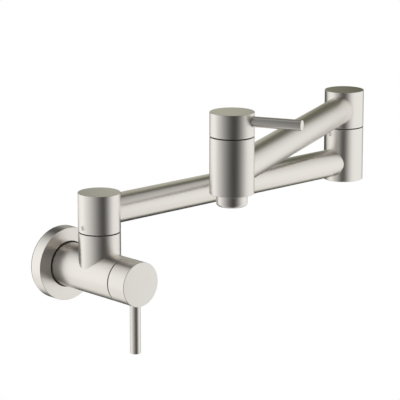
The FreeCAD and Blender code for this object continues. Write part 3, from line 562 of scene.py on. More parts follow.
@dataclass(frozen=True)
class Finish:
    """A material, and how its surface was made."""

    name: str
    colour: str  # its sRGB hex code
    darker: str  # the hex code that its variation runs to
    metallic: float  # 1 for a metal and 0 for anything else
    roughness: float  # the mean
    roughness_swing: float  # how far it strays from the mean, either way
    relief: float  # the height of the surface marks, in metres

    def marks(self, tree: Tree) -> tuple[Socket, Socket]:
        """The surface marks' height, from 0 to 1, and the slower tone that colour follows."""
        raise NotImplementedError

    def material(self) -> bpy.types.Material:
        """Makes the material, or finds it again.

        Returns:
            The material.
        """
        made = bpy.data.materials.get(self.name)
        if made is not None:
            return made
        made = blank(self.name)
        tree = made.node_tree
        height, tone = self.marks(tree)
        low, high = self.roughness - self.roughness_swing, self.roughness + self.roughness_swing
        rough = add_node(tree, "MapRange", {"Value": height, "To Min": low, "To Max": high})
        bump = add_node(tree, "Bump", {"Height": height, "Distance": self.relief})
        inputs = {
            "Base Color": mixed(tree, tone, linear(self.colour), linear(self.darker), data_type="RGBA"),
            "Metallic": self.metallic,
            "Roughness": rough.outputs["Result"],
            "Normal": bump.outputs["Normal"],
        }
        shader = add_node(tree, "BsdfPrincipled", inputs)
        add_node(tree, "OutputMaterial", {"Surface": shader.outputs["BSDF"]})
        made.diffuse_color = linear(self.colour)
        return made


@dataclass(frozen=True)
class Brushed(Finish):
    """A metal brushed with a fine belt: hair lines that follow the grain map.

    The real lines stand about 0.15 mm apart. A second, much coarser set stands in for them at a
    step away, where the real ones are too fine to show.
    """

    hair: tuple[float, float] = (18 * MM, 0.15 * MM)  # (length, spacing) of the real lines
    streak: tuple[float, float] = (60 * MM, 1.6 * MM)  # (length, spacing) of the coarse lines
    streak_share: float = 0.55  # of the height, the hair lines having the rest
    cloud: float = 25 * MM  # the size of the slow changes of tone
    cloud_share: float = 0.5  # of the tone, the streaks having the rest

    def marks(self, tree: Tree) -> tuple[Socket, Socket]:
        """Hair lines, streaks and a cloud.

        Args:
            tree: the material's node tree.

        Returns:
            Hair lines with streaks for the height, and streaks with the cloud for the tone.
        """
        grain = add_node(tree, "UVMap", uv_map=GRAIN_MAP).outputs["UV"]
        place = add_node(tree, "TexCoord").outputs["Object"]
        hair = noise(tree, grain, (*self.hair, 0.0))
        streak = noise(tree, grain, (*self.streak, 0.0), detail=3.0)
        cloud = noise(tree, place, (self.cloud,) * 3)
        height = mixed(tree, self.streak_share, hair, streak)
        return height, mixed(tree, self.cloud_share, streak, cloud)


@dataclass(frozen=True)
class Fine(Finish):
    """A surface with an even fine grain in all directions, as moulding, blasting or turning leaves."""

    cell: float = 0.4 * MM  # the grain's size, drawn a little coarser than it is
    cloud: float = 6 * MM  # the size of the slow changes of tone

    def marks(self, tree: Tree) -> tuple[Socket, Socket]:
        """The fine grain for the height, and a slow cloud for the tone."""
        place = add_node(tree, "TexCoord").outputs["Object"]
        return noise(tree, place, (self.cell,) * 3, detail=4.0), noise(tree, place, (self.cloud,) * 3)


FINISHES: dict[Slot, Finish] = {
    # Brass plated with nickel, then brushed and lacquered: warm grey, satin, soft long reflections.
    Slot.NICKEL: Brushed(
        "Nickel plate, satin brushed", "E8E4DE", "E4E0DA",
        metallic=1.0, roughness=0.3, roughness_swing=0.03, relief=0.004 * MM,
    ),
    # Free cutting brass, turned: yellow, with fine tool marks and a fair shine.
    Slot.BRASS: Fine(
        "Brass, turned", "D9B968", "C7A24E",
        metallic=1.0, roughness=0.28, roughness_swing=0.06, relief=0.004 * MM, cell=0.25 * MM,
    ),
    # Nitrile rubber, moulded and greased: near black, a dull sheen.
    Slot.RUBBER: Fine(
        "Nitrile rubber, moulded", "1C1C1D", "262625",
        metallic=0.0, roughness=0.52, roughness_swing=0.08, relief=0.006 * MM, cell=0.5 * MM,
    ),
    # Closed cell polyethylene foam, die cut: mid grey, matt, with tiny cells.
    Slot.FOAM: Fine(
        "Polyethylene foam, die cut", "6F7173", "5D5F61",
        metallic=0.0, roughness=0.9, roughness_swing=0.05, relief=0.08 * MM, cell=0.5 * MM,
    ),
    # Nylon filled with carbon black, turned: near black, slightly waxy.
    Slot.NYLON: Fine(
        "Black nylon, turned", "1B1B1B", "232322",
        metallic=0.0, roughness=0.5, roughness_swing=0.05, relief=0.003 * MM,
    ),
    # Alumina, fired and lapped: cold white, polished.
    Slot.CERAMIC: Fine(
        "Alumina, lapped", "F0EFEC", "E7E6E2",
        metallic=0.0, roughness=0.16, roughness_swing=0.03, relief=0.0005 * MM, cell=0.3 * MM,
    ),
    # Stainless steel, turned and tumbled: pale neutral grey, a fair shine.
    Slot.STEEL: Fine(
        "Stainless steel, tumbled", "D2D0CC", "C8C6C2",
        metallic=1.0, roughness=0.32, roughness_swing=0.05, relief=0.003 * MM, cell=0.3 * MM,
    ),
    # Acetal, moulded: pale grey, smooth.
    Slot.ACETAL: Fine(
        "Acetal, moulded", "C9CBCB", "BFC1C1",
        metallic=0.0, roughness=0.38, roughness_swing=0.05, relief=0.003 * MM,
    ),
}


def show(shell: Shell, body: str, node: str, slot: Slot = Slot.NICKEL) -> None:
    """Sews a shell, finishes it and puts it in its node's place.

    Args:
        shell: the piece's surface.
        body: the body that it moves with.
        node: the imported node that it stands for.
        slot: the record's material slot.
    """
    piece = shell.sew()
    piece.data.materials.append(FINISHES[slot].material())
    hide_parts(node)
    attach(piece, body)


# ---- Sub-assemblies ----


def chamber_corners(mouth: float, depth: float, seat: float, way: float) -> Corners:
    """The outline of a cartridge's chamber, both valves having the same cartridge.

    Args:
        mouth: the height of its counterbore's mouth.
        depth: the counterbore's depth.
        seat: the height of the seat.
        way: the radius of the water way behind the seat.

    Returns:
        The corners from the mouth to the water way.
    """
    recess = mouth - depth
    counterbore = [(COUNTERBORE, mouth, EDGE), (COUNTERBORE, recess)]
    return [*counterbore, (CHAMBER, recess), (CHAMBER, seat), (way, seat)]


@dataclass
class WallFlange:
    """The round cover plate: a shallow cup whose bored boss slides on the valve body."""

    segments: int = 192
    rim_wall: float = 2.5 * MM
    face_wall: float = 3.0 * MM
    boss_wall: float = 4.0 * MM
    bore_gap: float = 0.35 * MM  # play between its bore and the valve body
    lip_gap: float = 1.0 * MM  # the same in front of the ring, where the rubber shows

    def build(self) -> None:
        """Turns the plate, with the groove for the ring that grips the body."""
        axis = Axis(np.zeros(3), INTO_ROOM, -UP)
        back, front = axis.extent("wall_flange")
        ring_low, ring_high = axis.extent("flange_oring")
        rim = axis.girth("wall_flange")
        groove = axis.girth("flange_oring")
        bore = axis.girth("wall_body") + self.bore_gap
        lip = axis.girth("wall_body") + self.lip_gap
        boss = bore + self.boss_wall
        cup = rim - self.rim_wall
        plate = front - self.face_wall
        corners = [
            (rim, back, EDGE),
            (rim, front, EDGE),
            (lip, front, EDGE / 2),
            (lip, ring_high),
            (groove, ring_high),
            (groove, ring_low),
            (bore, ring_low),
            (bore, back),
            (boss, back, EDGE),
            (boss, plate, EDGE),
            (cup, plate, EDGE),
            (cup, back),
        ]
        skin = turned(axis, outline(corners, closed=True), round_angles(self.segments))
        show(Shell("flange_plate", skin), "wall_valve", "wall_flange")


@dataclass
class ValveBody:
    """The valve body: a barrel out of the wall, an upright stub, and a threaded inlet behind."""

    segments: int = 144
    stub_cells: int = 64  # faces along each side of the block that the stub stands in
    block_half: float = 19.6 * MM  # half the length of that block
    thread_pitch: float = 1.814 * MM  # that of a half inch pipe
    thread_rows: int = 12  # rows of the surface in one pitch
    thread_depth: float = 1.05 * MM
    thread_length: float = 16.0 * MM
    flank: float = 1.3  # how steep the flanks are, against a triangle as wide as the pitch
    crest: float = 0.15  # how much of that triangle the crests cut off
    crest_radius: float = 9.13 * MM
    mouth_radius: float = 10.6 * MM  # of the chamfer at the inlet's mouth
    passage_radius: float = 6.5 * MM  # of the way to the seat
    counterbore_depth: float = 9.1 * MM
    seat_to_port: float = 9.5 * MM  # from the cartridge's seat to the stub's axis

    def thread(self, axis: Axis) -> Patch:
        """The inlet's female thread.

        radius = crest + depth ridge(height / pitch - angle / 360), where ridge is a triangle wave
        clipped flat at crest and root. It runs out over its last pitch, and the mouth's 45 degree
        chamfer cuts it back.

        Args:
            axis: the barrel's axis.

        Returns:
            The thread's surface, from its inner end to the mouth.
        """
        rows = round(self.thread_length / self.thread_pitch * self.thread_rows) + 1
        height = np.linspace(self.thread_length, 0.0, rows)[:, None]
        angle = round_angles(self.segments)[None, :]
        phase = (height / self.thread_pitch - angle / (2 * HALF_TURN)) % 1.0
        ridge = np.clip(self.flank * (1 - np.abs(2 * phase - 1)) - self.crest, 0.0, 1.0)
        run_out = np.clip((self.thread_length - height) / self.thread_pitch, 0.0, 1.0)
        radius = self.crest_radius + self.thread_depth * ridge * run_out
        points = axis.place(np.maximum(radius, self.mouth_radius - height), angle, height)
        return Patch(points, grid_normals(points), (self.crest_radius * angle, height))

    def build(self) -> None:
        """Joins the barrel, its inlet thread and the stub into one skin."""
        axis = Axis(np.zeros(3), INTO_ROOM, UP)
        radius = axis.girth("wall_body")
        front = axis.extent("wall_body")[1] - SEAM
        standoff = sum(axis.extent("wall_swivel_post")) / 2
        stub_radius = PLUMB.girth("inner_arm_hub")
        top = PLUMB.extent("wall_body")[1] - SEAM
        post_foot = PLUMB.extent("wall_swivel_post")[0]
        seat = standoff - self.seat_to_port
        chamber = chamber_corners(front, self.counterbore_depth, seat, self.passage_radius)
        stub_hole = Hole(standoff, stub_radius, self.stub_cells, self.block_half)
        shape = outline([
            (self.mouth_radius, 0.0),
            (radius, 0.0, EDGE),
            *stub_hole.wall_corners(radius),
            (radius, front, EDGE),
            *chamber,
            (self.passage_radius, self.thread_length),
            (self.crest_radius, self.thread_length),
        ])
        stub_shape = outline([
            (stub_radius, 0.0),
            (stub_radius, top, EDGE),
            (POST_SEAT, top, EDGE),
            (POST_SEAT, post_foot),
            (0.0, post_foot),
        ])

        def sit(distance: Array, angle: Array, height: Array) -> Array:
            """The foot's height on the barrel: sqrt(R^2 - (r cos a)^2). Other rows stay."""
            saddle = np.sqrt(np.maximum(radius**2 - (distance * np.cos(angle)) ** 2, 0.0))
            return np.where(height > 0.0, height, saddle)

        stub = turned(axis.drill(standoff), stub_shape, stub_hole.angles, heights=sit)
        barrel = stub_hole.turned(axis, shape, self.segments, radius)
        show(Shell("valve_body", *barrel, self.thread(axis), stub), "wall_valve", "wall_body")


@dataclass
class Barrel:
    """An upright swivel barrel with a blind bore."""

    name: str
    node: str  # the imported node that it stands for
    body: str
    axis: Axis  # with angle nought where its set screw goes in
    bore: list[tuple[float, float]]  # its steps from mouth to blind end, as (radius, height reached)
    from_below: bool  # whether the bore opens downwards
    screw: float | None = None  # the height of its set screw
    segments: int = 144
    screw_radius: float = 2.05 * MM
    screw_mouth: float = 0.12 * MM  # rounding of the hole's mouth
    screw_floor: float = 11.0 * MM  # how far from the axis the hole stops
    screw_cells: int = 8  # faces along each side of the block that it is cut in
    screw_block: float = 3.2 * MM  # half the height of that block

    def corners(self, radius: float, hole: Hole | None) -> Corners:
        """The outline's corners, in order round the solid.

        Args:
            radius: the barrel's radius.
            hole: its set screw's hole, or None.

        Returns:
            The corners. Both ends lie on the axis.
        """
        low, high = self.axis.extent(self.node)
        low, high = (low + SEAM, high) if self.from_below else (low, high - SEAM)
        inside = []
        previous = low if self.from_below else high
        for step_radius, reached in self.bore:
            inside += [(step_radius, previous), (step_radius, reached)]
            previous = reached
        inside[0] = (*inside[0], EDGE)
        inside.append((0.0, previous))
        wall = hole.wall_corners(radius) if hole else []
        outside = [(radius, low, EDGE), *wall, (radius, high, EDGE)]
        if self.from_below:
            return [*reversed(inside), *outside, (0.0, high)]
        return [(0.0, low), *outside, *inside]

    def build(self) -> None:
        """Turns the barrel and drills its set screw's hole."""
        radius = self.axis.girth(self.node)
        hole = None
        if self.screw is not None:
            block = (self.screw_cells, self.screw_block)
            hole = Hole(self.screw, self.screw_radius, *block, self.screw_mouth, self.screw_floor)
        shape = outline(self.corners(radius, hole))
        if hole is None:
            patches = [turned(self.axis, shape, round_angles(self.segments))]
        else:
            patches = hole.turned(self.axis, shape, self.segments, radius)
        show(Shell(self.name, *patches), self.body, self.node)


@dataclass
class ArmTube:
    """A drawn tube from barrel to barrel, its ends cut to sit on them."""

    name: str
    node: str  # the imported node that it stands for
    body: str
    start: Array  # the plan place of the barrel that it leaves
    end: Array  # and of the one that it reaches
    barrel: float  # both barrels' radius
    wall: float = 1.2 * MM
    segments: int = 128
    stations: int = 24  # rows along it

    def build(self) -> None:
        """Turns the tube and seats its ends.

        With the ends' heights given as 0 and 1, a row's height is
        near + share (length - 2 near), where near = sqrt(barrel^2 - (r sin a)^2).
        """
        low, high = PLUMB.extent(self.node)
        outer = (high - low) / 2
        inner = outer - self.wall
        span = self.end - self.start
        length = float(np.linalg.norm(span))
        origin = np.array((*self.start, (high + low) / 2))
        axis = Axis(origin, np.array((*(span / length), 0.0)), UP)
        shares = np.linspace(0.0, 1.0, self.stations).tolist()
        corners = [(outer, share) for share in shares] + [(inner, share) for share in shares[::-1]]

        def sit(distance: Array, angle: Array, share: Array) -> Array:
            """Seats both ends on their barrels."""
            near = np.sqrt(self.barrel**2 - (distance * np.sin(angle)) ** 2)
            return near + share * (length - 2 * near)

        shape = outline(corners, closed=True)
        skin = turned(axis, shape, round_angles(self.segments), Grain.ALONG, sit)
        skin.grain[..., 0] = (skin.points - origin) @ axis.along
        show(Shell(self.name, skin), self.body, self.node)


@dataclass
class SetScrews:
    """The two dog point set screws, one in each lower barrel, with hexagon sockets."""

    places: list[tuple[float, float]]  # (x, height) of each screw's axis
    line: float  # the plan's y of both swivels
    radius: float
    dog_radius: float = 1.2 * MM
    dog_length: float = 1.05 * MM
    tip: float = 8.5 * MM  # how far the point stands from the swivel's axis
    end: float = 17.7 * MM  # how far the outer end stands from it
    flats: float = 2.0 * MM  # the socket's width across flats
    rim: float = 0.66  # radius of the socket's lead in, as a share of the flats
    socket_depth: float = 0.25 * MM
    lead_in: float = 0.1 * MM
    segments: int = 48

    def socket(self, axis: Axis) -> Patch:
        """The hexagon socket: radius = apothem / cos(angle off the middle of the nearest flat).

        Args:
            axis: the screw's axis, towards its outer end.

        Returns:
            The lead in, the walls and the floor.
        """
        angle = round_angles(self.segments)[None, :]
        sixth = HALF_TURN / 3
        off = (angle + sixth / 2) % sixth - sixth / 2
        hexagon = self.flats / 2 / np.cos(off)
        floor = self.end - self.socket_depth
        radius = np.vstack((np.full_like(angle, self.flats * self.rim), hexagon, hexagon, 0 * hexagon))
        height = np.array((self.end, self.end - self.lead_in, floor, floor))[:, None]
        points = axis.place(radius, angle, height)
        return Patch(points, points, (angle * self.radius, height), flat=True)

    def build(self) -> None:
        """Turns both screws into one piece."""
        shoulder = self.tip + self.dog_length
        shape = outline([
            (0.0, self.tip),
            (self.dog_radius, self.tip, EDGE / 2),
            (self.dog_radius, shoulder),
            (self.radius, shoulder, EDGE / 2),
            (self.radius, self.end, EDGE / 2),
            (self.flats * self.rim, self.end),
        ])
        patches = []
        for x, height in self.places:
            axis = Axis(np.array((x, self.line, height)), -ALONG_WALL, UP)
            patches += [turned(axis, shape, round_angles(self.segments)), self.socket(axis)]
        show(Shell("set_screws", *patches), "inner_arm", "arm_set_screws", Slot.STEEL)


@dataclass
class Arms:
    """Both arms: three swivel barrels, two tubes and two set screws."""

    swivel: Array  # plan places of the first swivel, the elbow and the head
    elbow: Array
    head: Array
    post_bore: float = 9.55 * MM  # radius of a bore that turns on a post
    chamber: float = 8.0 * MM  # radius of the water way past a tube's end
    end_gap: float = 0.8 * MM  # room between a post's end and the end of its bore
    screw_radius: float = 2.0 * MM

    def build(self) -> None:
        """Builds the barrels, the set screws and the tubes."""
        radius = PLUMB.girth("inner_arm_hub")
        low_screw, high_screw = PLUMB.extent("arm_set_screws")
        low_screw, high_screw = low_screw + self.screw_radius, high_screw - self.screw_radius
        swivel_top = PLUMB.extent("wall_swivel_post")[1] + self.end_gap
        post_foot, post_head = PLUMB.extent("elbow_post")
        lower, upper = (sum(PLUMB.extent(f"{arm}_arm_tube")) / 2 for arm in ("inner", "outer"))
        swivel, elbow = (upright(*place, -ALONG_WALL) for place in (self.swivel, self.elbow))
        lower_bore = [(self.post_bore, post_foot - self.end_gap), (self.chamber, lower - self.chamber)]
        upper_bore = [(POST_SEAT, post_head), (self.chamber, upper + self.chamber)]
        hub_bore = [(self.post_bore, swivel_top)]
        inner, outer = "inner_arm", "outer_arm"
        Barrel(
            "swivel_barrel", "inner_arm_hub", inner, swivel, hub_bore, from_below=True, screw=low_screw
        ).build()
        Barrel(
            "elbow_lower", "elbow_lower_barrel", inner, elbow, lower_bore, from_below=False, screw=high_screw
        ).build()
        Barrel("elbow_upper", "elbow_upper_barrel", outer, elbow, upper_bore, from_below=True).build()
        screws = [(self.swivel[0], low_screw), (self.elbow[0], high_screw)]
        SetScrews(screws, float(self.swivel[1]), self.screw_radius).build()
        ArmTube("inner_tube", "inner_arm_tube", inner, self.swivel, self.elbow, radius).build()
        ArmTube("outer_tube", "outer_arm_tube", outer, self.elbow, self.head, radius).build()


@dataclass
class SpoutHead:
    """The spout body and the aerator screwed into its lower end."""

    axis: Axis
    segments: int = 144
    body_round: float = 0.5 * MM  # rounding of the body's foot
    mouth_radius: float = 12.05 * MM  # of the mouth that takes the aerator
    outlet_radius: float = 6.0 * MM  # of the way down from the seat
    counterbore_depth: float = 7.5 * MM
    aerator_round: float = 2.8 * MM  # rounding of the aerator's foot
    aerator_thread: float = 12.0 * MM  # radius of its thread
    insert_gap: float = 0.05 * MM  # play round its insert
    lip_width: float = 1.4 * MM  # width of the lip that holds the insert

    def turn(self, name: str, node: str, corners: Corners) -> None:
        """Turns a closed outline about the head's axis and shows it."""
        skin = turned(self.axis, outline(corners, closed=True), round_angles(self.segments))
        show(Shell(name, skin), "outer_arm", node)

    def build(self) -> None:
        """Turns the spout body and the aerator's housing."""
        low, high = self.axis.extent("spout_body")
        high -= SEAM
        radius = self.axis.girth("spout_body")
        washer_top = self.axis.extent("aerator_washer")[1]
        seat = self.axis.extent("spout_cartridge_seal")[0]
        chamber = chamber_corners(high, self.counterbore_depth, seat, self.outlet_radius)
        corners = [
            (self.mouth_radius, low, EDGE),
            (radius, low, self.body_round),
            (radius, high, EDGE),
            *chamber,
            (self.outlet_radius, washer_top),
            (self.mouth_radius, washer_top),
        ]
        self.turn("spout_barrel", "spout_body", corners)

        foot, top = self.axis.extent("aerator_housing")
        outside = self.axis.girth("aerator_housing")
        insert_low = self.axis.extent("aerator_insert")[0]
        bore = self.axis.girth("aerator_insert") + self.insert_gap
        opening = bore - self.lip_width
        corners = [
            (opening, foot, EDGE),
            (outside, foot, self.aerator_round),
            (outside, low),
            (self.aerator_thread, low),
            (self.aerator_thread, top),
            (bore, top),
            (bore, insert_low),
            (opening, insert_low),
        ]
        self.turn("aerator_shell", "aerator_housing", corners)


@dataclass
class Handle:
    """A handle hub with its pin lever."""

    valve: str  # "wall" or "spout", as the nodes and bodies are named
    axis: Axis  # the valve's axis, with angle nought where the lever stands at rest
    segments: int = 144
    lever_segments: int = 64
    hub_wall: float = 3.0 * MM
    recess_depth: float = 3.2 * MM  # how far in front of the sleeve's foot the hub is hollow
    boss_radius: float = 10.5 * MM
    socket_depth: float = 2.0 * MM  # how deep the lever stands in the hub
    socket_gap: float = 0.22 * MM  # play round the lever there
    socket_mouth: float = 0.3 * MM  # rounding of the socket's mouth
    block_half: float = 6.2 * MM  # half the height of the block that the socket is cut in
    block_cells: int = 16  # faces along each side of it
    root_radius: float = 3.0 * MM  # of the lever's threaded root
    root_start: float = 11.5 * MM  # how far from the axis that root starts
    tip_rounding: float = 0.45 * MM

    @property
    def reach(self) -> float:
        """How far the lever reaches from the valve's axis, from its node's box.

        The box's corner lies at reach across + radius side, by size, along each coordinate.

        Returns:
            The distance of its tip.
        """
        box = np.array(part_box(f"{self.valve}_handle_lever"))
        main = int(np.argmax(np.abs(self.axis.across)))
        corner = box[1] if self.axis.across[main] > 0 else box[0]
        spread = float(np.ptp(box @ self.axis.along)) / 2 * abs(self.axis.side[main])
        return (abs(corner[main] - self.axis.origin[main]) - spread) / abs(self.axis.across[main])

    def build(self) -> None:
        """Turns the hub and the lever."""
        hub_node, lever_node = f"{self.valve}_handle_hub", f"{self.valve}_handle_lever"
        back, front = self.axis.extent(hub_node)
        back += SEAM
        radius = self.axis.girth(hub_node)
        sleeve_low, sleeve_top = self.axis.extent(f"{self.valve}_spline_adapter")
        sleeve_bore = self.axis.girth(f"{self.valve}_spline_adapter")
        lever_low, lever_high = self.axis.extent(lever_node)
        lever_radius = (lever_high - lever_low) / 2
        lever_height = (lever_high + lever_low) / 2
        skirt = radius - self.hub_wall
        recess = sleeve_low + self.recess_depth
        floor = radius - self.socket_depth
        block = (self.block_cells, self.block_half)
        hole = Hole(lever_height, lever_radius + self.socket_gap, *block, self.socket_mouth, floor)
        shape = outline([
            (0.0, sleeve_top),
            (sleeve_bore, sleeve_top),
            (sleeve_bore, sleeve_low),
            (self.boss_radius, sleeve_low, EDGE),
            (self.boss_radius, recess),
            (skirt, recess),
            (skirt, back),
            (radius, back, EDGE),
            *hole.wall_corners(radius),
            (radius, front, EDGE),
            (0.0, front),
        ])
        hub = hole.turned(self.axis, shape, self.segments, radius)
        show(Shell(f"{self.valve}_hub", *hub), f"{self.valve}_handle", hub_node)

        lever_shape = outline([
            (0.0, self.root_start),
            (self.root_radius, self.root_start, EDGE),
            (self.root_radius, floor),
            (lever_radius, floor),
            (lever_radius, self.reach, self.tip_rounding),
            (0.0, self.reach),
        ])
        pin = turned(self.axis.drill(lever_height), lever_shape, round_angles(self.lever_segments))
        show(Shell(f"{self.valve}_lever", pin), f"{self.valve}_handle", lever_node)


# ---- The studio ----


@dataclass(frozen=True)
class Flag:
    """A dark cloth with soft edges, hung on the tent.

    The share of it in force is left x right x high x low, each a smooth ramp between the two
    angles given for that edge. Light from outside is multiplied by 1 - share (1 - colour).
    """

    colour: str  # the hex code of what it lets through
    middle: float = 0.0  # in degrees to the right of the camera as the tap sees it
    left: tuple[float, float] | None = None  # how far left of that it ends, and how far it is whole
    right: tuple[float, float] | None = None  # the same to the right
    high: tuple[float, float] | None = None  # the height where it ends, and up to where it is whole
    low: tuple[float, float] | None = None  # the height where it starts, and from where it is whole

    def hang(self, tree: Tree, light: Socket | Colour, turn: Socket, rise: Socket) -> Socket:
        """Multiplies the light that comes through so far by this flag.

        Args:
            tree: the tent's node tree.
            light: the light so far.
            turn: the turn of a place on the tent, in radians.
            rise: its height, in radians.

        Returns:
            The light after it.
        """
        off = maths(tree, "SUBTRACT", turn, math.radians(self.middle))
        off = maths(tree, "WRAP", off, HALF_TURN, -HALF_TURN)
        edges = ((off, self.left, -1), (off, self.right, 1), (rise, self.high, 1), (rise, self.low, 1))
        share = 1.0
        for value, limits, way in edges:
            if limits is not None:
                outer, inner = (way * math.radians(limit) for limit in limits)
                inputs = {"Value": value, "From Min": outer, "From Max": inner}
                ramp = add_node(tree, "MapRange", inputs, interpolation_type="SMOOTHSTEP")
                share = maths(tree, "MULTIPLY", share, ramp.outputs["Result"])
        code = linear(self.colour)
        return mixed(tree, share, light, code, data_type="RGBA", blend_type="MULTIPLY")


@dataclass(frozen=True)
class Tent:
    """The round tent of thin white cloth that the tap hangs in, close about it.

    Its flags are what the metal mirrors as dark bands. It lets all light through to matt surfaces.
    """

    centre: tuple[float, float, float] = (150 * MM, -90 * MM, 40 * MM)
    radius: float = 500 * MM
    rows: int = 65
    segments: int = 96
    flags: tuple[Flag, ...] = (
        # All round the camera, up to the open top.
        Flag("403F3D", 6.0, left=(94.0, 0.0), right=(71.0, 0.0), high=(67.0, 54.0)),
        # Behind the tap: two grey ones, and a black one below them.
        Flag("84857C", 160.0, left=(25.0, 8.0), right=(25.0, 3.0)),
        Flag("D2D2C2", 174.0, left=(42.0, 14.0), right=(98.0, 0.0)),
        Flag("303030", 175.0, left=(20.0, 12.0), right=(51.0, 40.0), high=(12.0, -2.0)),
        # On the left behind the tap: one near the floor and one high up.
        Flag("3C3C3C", -152.0, left=(24.0, 10.0), right=(42.0, 20.0), high=(-7.0, -19.0)),
        Flag("303030", -132.0, left=(40.0, 14.0), right=(37.0, 2.0), low=(-1.0, 33.0)),
        # The top, dimmer the higher.
        Flag("8B8B88", low=(1.0, 95.0)),
    )

    def build(self, camera_side: float) -> None:
        """Hangs the tent.

        Args:
            camera_side: the plan direction of the camera from the tap, in radians from +X.
        """
        across = np.array((math.cos(camera_side), math.sin(camera_side), 0.0))
        slope = np.linspace(-QUARTER_TURN, QUARTER_TURN, self.rows)
        out, up = np.cos(slope), np.sin(slope)
        ball = Outline(self.radius * out, self.radius * up, out, up)
        axis = Axis(np.array(self.centre), UP, across)
        tent = Shell("tent", turned(axis, ball, round_angles(self.segments))).sew()
        tent.visible_camera = False
        tent.visible_diffuse = False
        tent.visible_shadow = False
        cloth = blank("White tent cloth with dark flags")
        tree = cloth.node_tree
        place = add_node(tree, "TexCoord").outputs["Object"]
        inputs = {"Vector": place, "Location": self.centre, "Rotation": (0.0, 0.0, camera_side)}
        inward = add_node(tree, "Mapping", inputs, vector_type="TEXTURE").outputs["Vector"]
        x, y, z = add_node(tree, "SeparateXYZ", {"Vector": inward}).outputs
        turn = maths(tree, "ARCTAN2", y, x)
        rise = maths(tree, "ARCSINE", maths(tree, "DIVIDE", z, self.radius))
        light = WHITE
        for flag in self.flags:
            light = flag.hang(tree, light, turn, rise)
        net = add_node(tree, "BsdfTransparent", {"Color": light})
        add_node(tree, "OutputMaterial", {"Surface": net.outputs["BSDF"]})
        tent.data.materials.append(cloth)


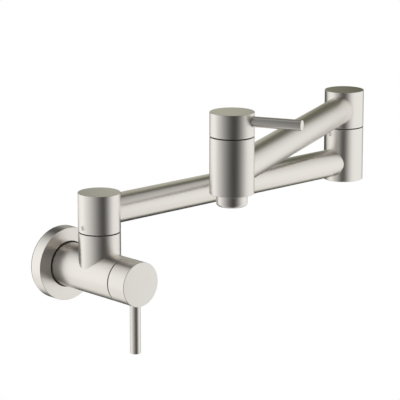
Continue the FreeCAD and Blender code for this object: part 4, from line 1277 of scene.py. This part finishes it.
@dataclass(frozen=True)
class Studio:
    """The camera, the light and the floor."""

    target: tuple[float, float, float] = (114.8 * MM, -54.0 * MM, 44.62 * MM)  # what the camera points at
    azimuth: float = -42.98  # the camera's direction from it, in degrees, nought in front of the wall
    elevation: float = 13.31  # its height above the horizon, in degrees
    distance: float = 1882.8 * MM
    focal_pixels: float = 2156.4  # the lens, in pixels of the picture
    picture_pixels: float = 400.0  # the picture's width
    sensor: float = 36.0  # its width, in millimetres
    floor_drop: float = 450 * MM  # how far below the wall's axis the floor lies, as a cooktop does
    floor_radius: float = 900 * MM
    floor_colour: str = "F8F8F6"
    floor_segments: int = 96
    lamp_turn: float = -105.0  # in degrees to the right of the camera
    lamp_distance: float = 900 * MM  # from the target
    lamp_size: float = 900 * MM
    lamp_power: float = 0.22  # in watts: a tenth of the room's own light on what it faces

    @property
    def camera_side(self) -> float:
        """The plan direction of the camera from the tap, in radians from +X."""
        return math.radians(self.azimuth) - QUARTER_TURN

    def stand(self, data: bpy.types.ID, turn: float, rise: float, distance: float) -> bpy.types.Object:
        """Stands a camera or a lamp off the target, facing it.

        Args:
            data: the camera or the lamp.
            turn: its plan direction from the target, in radians from +X.
            rise: its height above the horizon, in radians.
            distance: how far off it stands.

        Returns:
            The object.
        """
        level = math.cos(rise)
        way = Vector((math.cos(turn) * level, math.sin(turn) * level, math.sin(rise)))
        thing = bpy.data.objects.new(data.name, data)
        thing.location = Vector(self.target) + way * distance
        thing.rotation_euler = way.to_track_quat("Z", "Y").to_euler()
        bpy.context.scene.collection.objects.link(thing)
        return thing

    def camera(self) -> None:
        """Stands the camera where the photograph was taken from."""
        lens = bpy.data.cameras.new("camera")
        lens.sensor_width = self.sensor
        lens.lens = self.focal_pixels / self.picture_pixels * self.sensor
        rise = math.radians(self.elevation)
        bpy.context.scene.camera = self.stand(lens, self.camera_side, rise, self.distance)

    def world(self) -> None:
        """A plain white room, found only by the rays that leave a surface, so that the tent counts."""
        world = bpy.data.worlds.new("white room")
        bpy.context.scene.world = world
        world.cycles.sampling_method = "NONE"
        world.use_nodes = True
        tree = world.node_tree
        tree.nodes.clear()
        light = add_node(tree, "Background", {"Color": WHITE, "Strength": 1.0})
        add_node(tree, "OutputWorld", {"Surface": light.outputs["Background"]})

    def lamp(self) -> None:
        """A large soft lamp, level with the tap, to the left of it and a little behind."""
        light = bpy.data.lights.new("side lamp", "AREA")
        light.shape = "DISK"
        light.size = self.lamp_size
        light.energy = self.lamp_power
        turn = self.camera_side + math.radians(self.lamp_turn)
        self.stand(light, turn, 0.0, self.lamp_distance).visible_camera = False

    def floor(self) -> None:
        """A round white floor, seen from above only, so that it hides nothing from below."""
        axis = Axis(np.array((self.target[0], self.target[1], -self.floor_drop)), UP, ALONG_WALL)
        radius = np.array((self.floor_radius, 0.0))
        disc = Outline(radius, 0 * radius, 0 * radius, np.ones(2))
        floor = Shell("floor", turned(axis, disc, round_angles(self.floor_segments))).sew()
        paint = blank("White matt floor")
        tree = paint.node_tree
        inputs = {
            0: add_node(tree, "NewGeometry").outputs["Backfacing"],
            1: add_node(tree, "BsdfDiffuse", {"Color": linear(self.floor_colour)}).outputs["BSDF"],
            2: add_node(tree, "BsdfTransparent").outputs["BSDF"],
        }
        sides = add_node(tree, "MixShader", inputs)
        add_node(tree, "OutputMaterial", {"Surface": sides.outputs["Shader"]})
        floor.data.materials.append(paint)

    def build(self) -> None:
        """Sets up the whole studio."""
        self.camera()
        self.world()
        self.lamp()
        self.floor()
        Tent().build(self.camera_side)
        bpy.context.scene.view_settings.view_transform = "Standard"


# ---- The whole ----


def dress_nodes(frame: dict) -> None:
    """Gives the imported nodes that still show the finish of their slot.
    """
    for name, node in frame["nodes"].items():
        if node.hide_render:
            continue
        slot = Slot(node.material_slots[0].material.name.split(".")[0])
        node.material_slots[0].material = FINISHES[slot].material()
        LOG.info("%s: %s", name, FINISHES[slot].name)


def main() -> None:
    """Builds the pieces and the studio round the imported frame."""
    logging.basicConfig(level=logging.INFO, format="%(message)s")
    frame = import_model()

    places = {joint["name"]: np.array(joint["pos_m"])[:2] for joint in frame["joints"]}
    elbow, head = places["elbow_swivel"], places["spout_handle_turn"]
    arm_x, arm_y = (head - elbow) / np.linalg.norm(head - elbow)  # the second arm's way in the plan

    WallFlange().build()
    ValveBody().build()
    Arms(places["wall_swivel"], elbow, head).build()
    SpoutHead(upright(*head)).build()
    Handle("wall", Axis(np.zeros(3), INTO_ROOM, -UP)).build()
    Handle("spout", upright(*head, np.array((-arm_y, arm_x, 0.0)))).build()
    dress_nodes(frame)
    Studio().build()

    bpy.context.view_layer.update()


if __name__ == "__main__":
    main()
